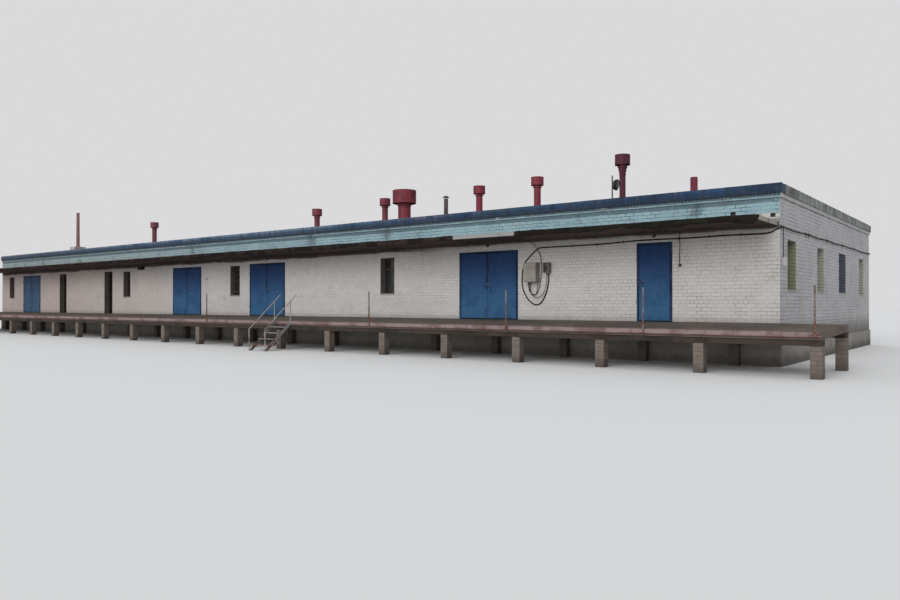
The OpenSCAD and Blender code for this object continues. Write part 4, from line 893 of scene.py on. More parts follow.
def ring_band(foot, radius, out, height, sides=36):
    """A band round Z from foot up: a rounded profile that stands out of a cylinder, turned into a closed ring."""
    shoulder, face = radius + out * 0.7, radius + out
    profile = np.array([(radius - 0.001, 0), (shoulder, 0.0005), (face, height * 0.3), (face, height * 0.7),
                        (shoulder, height - 0.0005), (radius - 0.001, height)])
    a = np.linspace(0, 2 * math.pi, sides, endpoint=False)
    points = np.stack([np.cos(a)[:, None] * profile[:, 0], np.sin(a)[:, None] * profile[:, 0],
                       np.broadcast_to(profile[:, 1], (sides, len(profile)))], -1)
    n = len(profile)
    j = np.arange(n)
    last = (sides - 1) * n
    close = np.stack([last + j, last + (j + 1) % n, (j + 1) % n, j], -1)
    return points.reshape(-1, 3) + foot, [np.concatenate([grid_faces(sides, n, True), close])]


def lap_seam(x, radius, low, high, angle):
    """A vent's upright seam: a flat rounded profile carried up the cylinder at an angle, and its rivets' places."""
    profile = np.array([(-0.0005, -0.008), (0.0016, -0.007), (0.0020, 0.0), (0.0016, 0.007), (-0.0005, 0.008)])
    out = np.array([math.cos(angle), math.sin(angle), 0])
    side = np.array([-math.sin(angle), math.cos(angle), 0])
    foot = np.array([x, VENT_Y, low]) + out * radius
    path = np.stack([foot, foot + UP * (high - low)])
    rings = path[:, None] + profile[:, :1] * out + profile[:, 1:] * side
    spots = [foot + UP * (z - low) + out * 0.0015 for z in np.arange(low + 0.03, high - 0.02, 0.05)]
    return carried(rings), spots


class FACTORY_OT_vents(bpy.types.Operator):
    """Adds lap seams, rivets and bands to the roof vents and a lens to the floodlight"""
    bl_idname = "factory.vents"
    bl_label = "Vents"

    def execute(self, context):
        rivet = disc([(0, -0.001), (0.0042, 0), (0.0036, 0.0015), (0.002, 0.0026), (0, 0.0029)], 8)
        seams, rivets, bands = [], [], []
        for i, (x, h, r, head_r, head, neck) in enumerate(VENTS):
            top = ROOF_TOP + h
            rim = top - head
            angle = math.radians(-70 + 23 * i)
            for radius, low, high in ((r, ROOF_TOP + 0.062, rim - neck), (head_r, rim + 0.001, top - 0.001)):
                seam, spots = lap_seam(x, radius, low, high, angle)
                seams.append(seam)
                rivets.append(repeat(rivet, spots, angle + math.pi / 2))
            angles = np.linspace(0, 2 * math.pi, 10 if r < 0.1 else 16, endpoint=False)
            spots = [(x + head_r * math.cos(a), VENT_Y + head_r * math.sin(a), rim + 0.018) for a in angles]
            rivets.append(repeat(rivet, spots, angles + math.pi / 2))
            if h > 0.9 and r < 0.1:
                bands.append(ring_band((x, VENT_Y, ROOF_TOP + 0.45 * (h - head)), r, 0.0025, 0.016))
            bands += [ring_band((x, VENT_Y, z), head_r, 0.0022, 0.008) for z in (rim, top - 0.009)]
        build("vent_seams", seams, "vent_paint", round_over=30)
        build("vent_rivets", rivets, "vent_paint", round_over=60)
        build("vent_bands", bands, "vent_paint", round_over=40)
        points, faces = revolve([(0, -0.002), (0.086, -0.001), (0.088, 0.001), (0.070, 0.006), (0.035, 0.009),
                                 (0, 0.010)], 32)
        tilt = math.radians(12)
        ahead = np.array([math.cos(tilt), 0, -math.sin(tilt)])
        down = np.array([-math.sin(tilt), 0, -math.cos(tilt)])
        middle = np.array(FLOODLIGHT) + ahead * HOUSING_DEPTH
        points = middle + points[:, :1] * down + points[:, 1:2] * (0, 1.0, 0) + points[:, 2:] * ahead
        build("floodlight_lens", [(points, faces)], "lens")
        return {"FINISHED"}


class FACTORY_OT_stair(bpy.types.Operator):
    """Adds angle cleats, bolts and rounded nosings to the stair's treads"""
    bl_idname = "factory.stair"
    bl_label = "Stair"

    def execute(self, context):
        lo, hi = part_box("stair")
        treads = [(hi.y - (hi.y - lo.y) * i / 5, hi.z * (1 - i / 5)) for i in range(1, 5)]
        profile = [(0, -0.001), (0.0065, 0), (0.0065, 0.003), (0.004, 0.005), (0, 0.005)]
        bolts = [repeat(disc(profile, 6, axis), [(x, y + dy, z - 0.022) for y, z in treads for dy in (-0.015, 0.035)])
                 for x, axis in ((hi.x, "x"), (lo.x, "-x"))]
        build("stair_bolts", bolts, "stair_iron", round_over=30)
        stringer = 0.008
        cleats = [block((x, y - 0.025, z + low), (x + width, y + 0.055, z - 0.012))
                  for y, z in treads for width, low in ((0.004, -0.042), (0.025, -0.016))
                  for x in (lo.x + stringer, hi.x - stringer - width)]
        build("stair_cleats", cleats, "stair_iron", bevel=0.0008)
        nosing = [(0.0, -0.012), (0.004, -0.010), (0.005, -0.004), (0.003, 0.0015), (-0.004, 0.002), (-0.004, -0.002)]
        nosings = [sweep(nosing, (lo.x + 0.009, y - 0.0295, z), (hi.x - 0.009, y - 0.0295, z), TO_FRONT)
                   for y, z in treads]
        build("stair_nosings", nosings, "stair_iron", round_over=40)
        return {"FINISHED"}


# Finishes

class Graph:
    """A node tree being made: each call adds one node and gives its output."""

    def __init__(self, tree):
        self.tree = tree

    def add(self, kind, inputs=None, out=0, **settings):
        node = self.tree.nodes.new("ShaderNode" + kind)
        for key, value in settings.items():
            setattr(node, key, value)
        for key, value in (inputs or {}).items():
            if isinstance(value, bpy.types.NodeSocket):
                self.tree.links.new(value, node.inputs[key])
            else:
                node.inputs[key].default_value = value
        return node.outputs[out]

    def math(self, operation, a, b=0.0):
        """Two values put together by an operation."""
        return self.add("Math", {0: a, 1: b}, operation=operation)

    def mix(self, factor, a, b, blend="MIX"):
        """Colour a going over to colour b by the factor."""
        a, b = (x if isinstance(x, bpy.types.NodeSocket) else colour(x) for x in (a, b))
        return self.add("Mix", {0: factor, 6: a, 7: b}, 2, data_type="RGBA", blend_type=blend)

    def ramp(self, value, low, high, to_low=0.0, to_high=1.0):
        """A smooth step of the value from to_low at low to to_high at high."""
        return self.add("MapRange", {0: value, 1: low, 2: high, 3: to_low, 4: to_high},
                        interpolation_type="SMOOTHSTEP")

    def axis(self, i):
        """The object's X, Y or Z, or for 3 how far X is from the middle."""
        part = self.add("SeparateXYZ", {0: self.add("TexCoord", out="Object")}, i % 3)
        return part if i < 3 else self.math("ABSOLUTE", part)

    def noise(self, scale, detail=4.0, stretch=(1, 1, 1), roughness=0.55):
        """A noise round 0.5, drawn out along an axis whose stretch is under 1."""
        spot = self.add("Mapping", {"Vector": self.add("TexCoord", out="Object"), "Scale": stretch})
        return self.add("TexNoise", {"Vector": spot, "Scale": scale, "Detail": detail, "Roughness": roughness})

    def use(self, name, values):
        """Places a shared group in a material with its own values and gives its outputs."""
        node = self.tree.nodes.new("ShaderNodeGroup")
        node.node_tree = GROUPS[name]
        for key, value in values.items():
            node.inputs[key].default_value = value
        return node.outputs

    def end(self, kind, shader):
        """Links the finished shader to the tree's output."""
        self.tree.links.new(shader, self.tree.nodes.new("ShaderNodeOutput" + kind).inputs["Surface"])


def colour(rgb):
    """The colour with its alpha of 1."""
    return (*rgb, 1.0) if len(rgb) == 3 else rgb


def group(name, inputs, outputs, fill):
    """A shader node group with named value inputs and outputs; fill gets the graph and the inputs by name."""
    tree = bpy.data.node_groups.new(name, "ShaderNodeTree")
    for key, value in inputs.items():
        tree.interface.new_socket(key, in_out="INPUT", socket_type="NodeSocketFloat").default_value = value
    for key in outputs:
        tree.interface.new_socket(key, in_out="OUTPUT", socket_type="NodeSocketFloat")
    source, sink = tree.nodes.new("NodeGroupInput"), tree.nodes.new("NodeGroupOutput")
    results = fill(Graph(tree), source.outputs)
    for key in outputs:
        tree.links.new(results[key], sink.inputs[key])
    GROUPS[name] = tree


def fill_weathering(g, i):
    """Patches are a coarse noise and streaks a noise drawn out downwards, each cut at a level set by its amount."""
    patch = g.ramp(g.noise(i["Patch Scale"], 6.0, roughness=0.62), g.math("SUBTRACT", 0.74, i["Patch Amount"]),
                   g.math("SUBTRACT", 0.84, i["Patch Amount"]))
    streak = g.ramp(g.noise(i["Streak Scale"], 5.0, (1, 1, 0.09)), g.math("SUBTRACT", 0.72, i["Streak Amount"]),
                    g.math("SUBTRACT", 0.92, i["Streak Amount"]))
    return {"Patches": patch, "Streaks": streak}


def fill_grain(g, i):
    """Height is a fine noise with a coarser one under it; Speckle is the fine one alone, cut sharp."""
    fine = g.noise(i["Scale"], 5.0, roughness=0.7)
    coarse = g.noise(g.math("MULTIPLY", i["Scale"], 0.17), 3.0)
    return {"Height": g.math("ADD", g.math("MULTIPLY", fine, 0.6), g.math("MULTIPLY", coarse, 0.9)),
            "Speckle": g.ramp(fine, 0.52, 0.66)}


def fill_chips(g, i):
    """Chips of lost paint: a noise cut sharp, more where the height is near Low. The halo is the same noise, cut
    soft."""
    near = g.ramp(g.axis(2), i["Low"], i["High"], 1.0, 0.0)
    n = g.math("ADD", g.noise(i["Scale"], 8.0, roughness=0.68),
               g.math("MULTIPLY", g.math("MULTIPLY", near, i["Foot"]), 0.22))
    return {"Chips": g.ramp(n, g.math("SUBTRACT", 0.80, i["Amount"]), g.math("SUBTRACT", 0.83, i["Amount"])),
            "Halo": g.ramp(n, g.math("SUBTRACT", 0.70, i["Amount"]), g.math("SUBTRACT", 0.83, i["Amount"]))}


def fill_blotches(g, i):
    """Blotches: a noise of the given scale, cut between Low and High."""
    return {"Mask": g.ramp(g.noise(i["Scale"], 6.0, roughness=0.6), i["Low"], i["High"])}


FINISHES, SLOT_OF, GROUPS = {}, {}, {}


def make_groups():
    """Makes the effects that the finishes share."""
    group("Weathering", {"Patch Scale": 3.0, "Patch Amount": 0.2, "Streak Scale": 8.0, "Streak Amount": 0.2},
          ["Patches", "Streaks"], fill_weathering)
    group("Surface Grain", {"Scale": 120.0}, ["Height", "Speckle"], fill_grain)
    group("Paint Chips", {"Scale": 14.0, "Amount": 0.1, "Foot": 0.0, "Low": 0.0, "High": 1.0}, ["Chips", "Halo"],
          fill_chips)
    group("Blotches", {"Scale": 3.0, "Low": 0.5, "High": 0.6}, ["Mask"], fill_blotches)


def mark(tint, weight, *edges, ragged=0.0, wave=6.0, blotch=None, lines=None, blend="MIX"):
    """A mark of a finish: where its mask is 1 the tint has its full weight. The mask is the product of a smooth step
    for each edge (axis as in Graph.axis, 0 at, 1 at), the first one shifted by a noise of scale wave where it is
    ragged, of blotches (scale, low, high), and of level lines (start, pitch, share of the pitch)."""
    def add_mark(g, c):
        mask = weight
        for i, (axis, low, high) in enumerate(edges):
            at = g.axis(axis)
            if ragged and i == 0:
                noise = g.math("SUBTRACT", g.noise(wave, 6.0, roughness=0.62), 0.5)
                at = g.math("ADD", at, g.math("MULTIPLY", noise, ragged))
            mask = g.math("MULTIPLY", mask, g.ramp(at, low, high))
        if blotch:
            mask = g.math("MULTIPLY", mask, g.use("Blotches", dict(zip(("Scale", "Low", "High"), blotch)))["Mask"])
        if lines:
            start, pitch, share = lines
            turn = g.math("FRACT", g.math("DIVIDE", g.math("SUBTRACT", g.axis(2), start), pitch))
            mask = g.math("MULTIPLY", mask, g.ramp(turn, share * 1.3, share * 0.7))
        return g.mix(mask, c, tint, blend)
    return add_mark


def new_finish(name, slot):
    """A material with an empty node tree, kept as a finish of its slot."""
    m = bpy.data.materials.new(name)
    m.use_nodes = True
    m.node_tree.nodes.clear()
    FINISHES[name], SLOT_OF[name] = m, slot
    return Graph(m.node_tree)


RUST = (0.13, 0.045, 0.018)


def finish(name, slot, base, alt, patch=(2.5, 0.2), dirt=(0.05, 0.045, 0.04), streak=(9.0, 0.12),
           grain=(140.0, 0.0006), rough=(0.75, 0.92), metallic=0.0, tones=(), tone_at=(0.0, 1.0), tone_mix=0.5,
           marks=(), chips=None, chip_colour=RUST, spec=0.25, speckle=0.22):
    """A finish of its slot: base and alt colours in patches, a tone for each brick or panel, marks at their places,
    dirt in streaks, chipped paint, and roughness and bump from the grain. patch and streak are (scale, amount),
    grain is (scale, depth), rough is (least, most), and the tones lie at tone_at from 0 to 1."""
    g = new_finish(name, slot)
    weather = g.use("Weathering", {"Patch Scale": patch[0], "Patch Amount": patch[1], "Streak Scale": streak[0],
                                   "Streak Amount": streak[1]})
    c = g.mix(weather["Patches"], base, alt)
    if tones:
        ramp = g.tree.nodes.new("ShaderNodeValToRGB")
        elements = ramp.color_ramp.elements
        for i, (at, rgb) in enumerate(zip(tone_at, tones)):
            element = elements[i] if i < 2 else elements.new(at)
            element.position, element.color = at, colour(rgb)
        g.tree.links.new(g.add("Attribute", attribute_name="tone", out="Fac"), ramp.inputs[0])
        c = g.mix(tone_mix, c, ramp.outputs[0])
    for add_mark in marks:
        c = add_mark(g, c)
    c = g.mix(g.math("MULTIPLY", weather["Streaks"], 0.75), c, dirt)
    surface = g.use("Surface Grain", {"Scale": grain[0]})
    height = surface["Height"]
    c = g.mix(g.math("MULTIPLY", surface["Speckle"], speckle), c, dirt)
    roughness = g.ramp(g.math("ADD", height, g.math("MULTIPLY", weather["Patches"], 0.2)), 0.45, 1.1, *rough)
    if chips:
        chip = g.use("Paint Chips", chips)
        c = g.mix(g.math("MULTIPLY", chip["Halo"], 0.45), c, chip_colour)
        c = g.mix(chip["Chips"], c, chip_colour)
        roughness = g.math("MAXIMUM", roughness, g.math("MULTIPLY", chip["Halo"], 0.9))
        height = g.math("SUBTRACT", height, g.math("MULTIPLY", chip["Chips"], 0.8))
    bump = g.add("Bump", {"Height": height, "Distance": grain[1], "Strength": 0.8})
    g.end("Material", g.add("BsdfPrincipled", {"Metallic": metallic, "Specular IOR Level": spec, "Base Color": c,
                                               "Roughness": roughness, "Normal": bump}))


def glass_finish(name, slot, tint, rough, weight, dirt):
    """Old glass: see-through, tinted, with a film of dirt in patches that also roughens it."""
    g = new_finish(name, slot)
    film = g.math("MULTIPLY", g.ramp(g.noise(6.0, 6.0), 0.35, 0.75), 0.5)
    g.end("Material", g.add("BsdfPrincipled", {
        "Transmission Weight": weight, "IOR": 1.45, "Base Color": g.mix(film, tint, dirt),
        "Roughness": g.ramp(film, 0.0, 0.6, rough, rough + 0.3)}))


def chipped(scale, amount, foot=0.0, low=0.0, high=1.0):
    """The values of the chips group: more chips towards the height low where foot is over 0."""
    return {"Scale": scale, "Amount": amount, "Foot": foot, "Low": low, "High": high}


def make_wall_finishes():
    """Mortar, bricks, foundation, sills and the flue's base, with the marks that lie across several of them."""
    under = CANOPY_LO.z
    # Edges: the front's face, what lies under the canopy, the sides of the openings, and the hall's inner faces
    front = (1, FRONT + 0.006, FRONT + 0.004)
    over_canopy = (2, under + 0.026, under + 0.030)
    canopy_side = (2, under + 0.03, under + 0.02)
    reveal = [(1, FRONT + 0.002, FRONT + 0.006), (1, FRONT + 0.252, FRONT + 0.248), (3, HALF - 0.01, HALF - 0.02)]
    end_reveal = [(3, HALF - 0.256, HALF - 0.252), (3, HALF - 0.002, HALF - 0.006), (2, SILL - 0.01, SILL),
                  (2, WINDOW_HEAD + 0.01, WINDOW_HEAD), (1, FRONT + 0.3, FRONT + 0.31)]
    inside = [(1, FRONT + 0.250, FRONT + 0.254), (1, BACK - 0.250, BACK - 0.254), (3, HALF - 0.250, HALF - 0.254),
              (2, ROOF_TOP - 0.09, ROOF_TOP - 0.10)]
    white_corner = [(3, HALF - 0.302, HALF - 0.298), (2, FLOOR + 1.438, FLOOR + 1.434), front]
    # Marks that several finishes share
    # painted shade: the walls darker and pinker towards the far left end
    far = mark((0.80, 0.71, 0.69), 1.0, (0, 4.0, -11.0), blend="MULTIPLY")
    # painted shade under the canopy, with some soot: the top of the wall darker
    shade_and_soot_under_canopy = mark((0.10, 0.085, 0.078), 0.4, (2, under - 0.09, under + 0.01), (1, FRONT + 0.01, FRONT + 0.004),
                        ragged=0.05)
    deck_dirt = mark((0.16, 0.135, 0.12), 0.5, (2, FLOOR + 0.11, FLOOR - 0.02), ragged=0.07)
    # soot and painted shade under the canopy: a ragged dark line along its underside, and a deeper band on the left
    soot_and_shade_line = mark((0.055, 0.040, 0.034), 0.9, (2, under - 0.046, under - 0.020), front, canopy_side, ragged=0.09,
                     wave=1.3)
    soot_and_shade_band = mark((0.050, 0.036, 0.030), 0.92, (2, under - 0.092, under - 0.056), front, (0, 7.0, 5.2),
                     canopy_side, ragged=0.11, wave=1.1)
    # painted shadow of the projecting cornice: a ragged dark band under it on the front face
    cornice_shadow = mark((0.075, 0.115, 0.130), 0.8, (2, WALL_TOP - 0.075, WALL_TOP - 0.035), (2, WALL_TOP + 0.003, WALL_TOP),
                 front, ragged=0.05, wave=2.0)
    finish("wall_mortar", "white_brick", (0.48, 0.46, 0.44), (0.40, 0.38, 0.36), speckle=0.15, marks=[
        # worn joints: everywhere, at the front's right, on the end walls
        mark((0.28, 0.25, 0.225), 0.7, blotch=(3.5, 0.50, 0.62)),
        mark((0.20, 0.180, 0.165), 0.62, (0, 8.3, 10.8), front, blotch=(2.6, 0.46, 0.60)),
        mark((0.14, 0.135, 0.13), 0.85, (3, HALF - 0.004, HALF - 0.002), blotch=(3.6, 0.43, 0.55)),
        # turquoise paint over the canopy, with its white corner and dark joints
        mark((0.24, 0.36, 0.40), 1.0, over_canopy, (1, FRONT + 0.12, FRONT + 0.08)),
        mark((0.56, 0.54, 0.52), 1.0, *white_corner, (2, under + 0.02, under + 0.03)),
        mark((0.035, 0.05, 0.055), 0.92, over_canopy, front, blotch=(3.0, 0.43, 0.53)),
        # painted shade towards the far end, soot with painted shade under the canopy, painted shadow under the
        # cornice, dirt at the deck
        far, soot_and_shade_line, soot_and_shade_band, cornice_shadow, deck_dirt,
        # sides of the openings, of the end windows with their courses, and the hall's inside
        mark((0.11, 0.095, 0.085), 0.8, *reveal),
        mark((0.34, 0.34, 0.28), 0.9, *end_reveal),
        mark((0.22, 0.22, 0.145), 0.9, *end_reveal, (1, FRONT + 1.6, FRONT + 1.5)),
        mark((0.09, 0.09, 0.065), 0.8, *end_reveal, lines=(FLOOR, 0.0505, 0.16)),
        mark((0.40, 0.40, 0.37), 1.0, *inside)])
    # white bricks, with painted shade towards the far end, soot and painted shade under the canopy, and dirt at the
    # deck
    finish("white_bricks", "white_brick", (0.56, 0.54, 0.52), (0.50, 0.475, 0.455), patch=(1.1, 0.26),
           tones=[(0.59, 0.57, 0.55), (0.50, 0.48, 0.46)], dirt=(0.22, 0.20, 0.18),
           streak=(7.0, 0.0), grain=(150.0, 0.0009), rough=(0.72, 0.95), chips=chipped(5.0, 0.11),
           chip_colour=(0.42, 0.38, 0.34), speckle=0.12, marks=[far, shade_and_soot_under_canopy, soot_and_shade_line, soot_and_shade_band, deck_dirt])
    finish("base_bricks", "white_brick", (0.30, 0.28, 0.26), (0.20, 0.18, 0.16), dirt=(0.06, 0.05, 0.04),
           marks=[mark((0.06, 0.05, 0.04), 0.5, (2, 0.5, 0.25), ragged=0.1)])
    finish("end_bricks", "white_brick", (0.465, 0.46, 0.475), (0.40, 0.395, 0.41), patch=(1.6, 0.24),
           tones=[(0.49, 0.485, 0.50), (0.40, 0.395, 0.41)], dirt=(0.13, 0.12, 0.115),
           streak=(6.0, 0.0), grain=(150.0, 0.0009), rough=(0.72, 0.95), chips=chipped(7.0, 0.12),
           chip_colour=(0.27, 0.25, 0.24), speckle=0.16,
           marks=[mark((0.10, 0.09, 0.085), 0.75, (2, FLOOR + 0.10, BASE_TOP + 0.02), ragged=0.16)])
    finish("turquoise_bricks", "blue_green_brick", (0.305, 0.45, 0.495), (0.255, 0.38, 0.43), patch=(1.3, 0.26),
           tones=[(0.32, 0.47, 0.515), (0.27, 0.405, 0.45)], dirt=(0.10, 0.13, 0.14),
           streak=(10.0, 0.04), grain=(150.0, 0.0009), rough=(0.70, 0.92), chips=chipped(6.0, 0.155),
           chip_colour=(0.38, 0.44, 0.44), marks=[
               mark((0.55, 0.53, 0.51), 1.0, *white_corner),
               # painted cast of light: the turquoise warmer and a little darker towards the left end, as on the white
               # walls; then the painted shadow under the cornice
               mark((0.98, 0.81, 0.75), 1.0, (0, 7.0, -9.0), blend="MULTIPLY"), cornice_shadow,
               mark((0.045, 0.048, 0.045), 0.85, (2, CANOPY_HI.z + 0.055, CANOPY_HI.z - 0.005), ragged=0.07),
               mark((0.05, 0.065, 0.07), 0.65, blotch=(2.4, 0.55, 0.70)),
               # painted shadow of the coping's drip edge on the top of the cornice bricks
               mark((0.035, 0.045, 0.055), 0.88, (2, CORNICE_TOP - 0.064, CORNICE_TOP - 0.040),
                    ragged=0.045)])
    finish("cornice_body", "blue_green_brick", (0.22, 0.33, 0.37), (0.17, 0.25, 0.29),
           marks=[mark((0.33, 0.33, 0.35), 1.0, (3, HALF + 0.008, HALF + 0.012)),
                  mark((0.33, 0.33, 0.35), 1.0, (1, FRONT + 0.2, FRONT + 0.21))])
    finish("foundation_body", "foundation_concrete", (0.24, 0.23, 0.21), (0.16, 0.15, 0.14))
    finish("foundation_blocks", "foundation_concrete", (0.30, 0.285, 0.26), (0.20, 0.19, 0.17), grain=(70.0, 0.0015),
           tones=[(0.33, 0.31, 0.28), (0.23, 0.22, 0.20)],
           marks=[mark((0.07, 0.06, 0.05), 0.75, (2, 0.20, 0.02), ragged=0.15)])
    finish("sill", "sill_concrete", (0.40, 0.39, 0.37), (0.26, 0.25, 0.235), grain=(110.0, 0.001))
    finish("flue_body", "plaster", (0.36, 0.345, 0.33), (0.28, 0.265, 0.25))
    finish("flue_bricks", "plaster", (0.50, 0.48, 0.46), (0.36, 0.33, 0.31), grain=(150.0, 0.0009),
           tones=[(0.52, 0.50, 0.48), (0.40, 0.37, 0.35)], chips=chipped(9.0, 0.14),
           chip_colour=(0.27, 0.24, 0.22))


def make_concrete_finishes():
    """Floor, roof felt, canopy with its crust, platform and piers."""
    finish("floor_screed", "floor_concrete", (0.22, 0.21, 0.195), (0.14, 0.13, 0.12), patch=(1.1, 0.25),
           rough=(0.55, 0.85))
    finish("felt", "roofing", (0.088, 0.088, 0.091), (0.108, 0.105, 0.102), patch=(1.0, 0.20), streak=(3.0, 0.05),
           grain=(320.0, 0.0008), rough=(0.82, 0.97))
    finish("roof_body", "roofing", (0.085, 0.085, 0.090), (0.13, 0.125, 0.12),
           marks=[mark((0.36, 0.35, 0.32), 0.9, (2, ROOF_TOP - 0.08, ROOF_TOP - 0.10))])
    rusty = mark((0.10, 0.060, 0.042), 0.65, (2, CANOPY_LO.z + 0.004, CANOPY_LO.z + 0.001), blotch=(2.0, 0.46, 0.66))
    finish("canopy_slab", "canopy_concrete", (0.085, 0.056, 0.046), (0.048, 0.033, 0.028), patch=(1.2, 0.30),
           dirt=(0.03, 0.026, 0.022), streak=(5.0, 0.2), grain=(90.0, 0.0014), rough=(0.8, 0.97),
           marks=[rusty, mark((0.115, 0.100, 0.088), 0.85, (2, CANOPY_HI.z - 0.003, CANOPY_HI.z - 0.001)),
                  mark((0.40, 0.38, 0.34), 0.85, (3, CANOPY_HI.x - 0.003, CANOPY_HI.x - 0.001))])
    finish("moss_crust", "canopy_concrete", (0.016, 0.012, 0.012), (0.034, 0.025, 0.022), patch=(4.0, 0.28),
           dirt=(0.010, 0.008, 0.008), streak=(20.0, 0.2), grain=(120.0, 0.004), rough=(0.9, 1.0), spec=0.05,
           marks=[mark((0.012, 0.012, 0.009), 0.7, (0, 8.5, 9.5)),
                  mark((0.026, 0.027, 0.017), 0.5, (0, 9.5, 11.5), blotch=(5.0, 0.50, 0.64)),
                  mark((0.15, 0.125, 0.115), 0.85, (2, CANOPY_HI.z - 0.014, CANOPY_HI.z + 0.002), (0, 1.5, -2.5),
                       ragged=0.03)])
    finish("canopy_repair", "canopy_concrete", (0.28, 0.275, 0.27), (0.20, 0.195, 0.19), streak=(16.0, 0.15),
           grain=(60.0, 0.0006), rough=(0.5, 0.8))
    finish("deck_concrete", "platform_concrete", (0.130, 0.106, 0.091), (0.098, 0.080, 0.068), patch=(1.2, 0.26),
           dirt=(0.05, 0.042, 0.036), streak=(4.0, 0.12), grain=(80.0, 0.0016), rough=(0.8, 0.97))
    # the beam under the platform's edge: its colour darkened to painted shade, as it lies in the edge's shadow
    finish("shaded_beam_face", "beam_concrete", (0.050, 0.038, 0.032), (0.034, 0.026, 0.022), patch=(2.0, 0.26),
           grain=(80.0, 0.0016), rough=(0.8, 0.97))
    finish("edge_paint", "edge_steel", (0.25, 0.190, 0.185), (0.17, 0.115, 0.110), patch=(2.4, 0.26),
           dirt=(0.05, 0.035, 0.03), streak=(8.0, 0.1), rough=(0.7, 0.95), chips=chipped(9.0, 0.15),
           chip_colour=(0.09, 0.035, 0.03), marks=[
               mark((0.085, 0.030, 0.030), 0.85, (2, EDGE_LO.z + 0.016, EDGE_LO.z + 0.006), ragged=0.02),
               mark((0.11, 0.065, 0.06), 0.7, (2, EDGE_HI.z - 0.012, EDGE_HI.z - 0.002), ragged=0.03)])
    finish("pier_bricks", "pier_brick", (0.17, 0.14, 0.12), (0.13, 0.105, 0.09), grain=(120.0, 0.001),
           tones=[(0.20, 0.165, 0.14), (0.12, 0.095, 0.08)],
           marks=[mark((0.05, 0.04, 0.035), 0.7, (2, 0.16, 0.0), ragged=0.1)])
    finish("pier_body", "pier_brick", (0.13, 0.115, 0.10), (0.10, 0.09, 0.08))


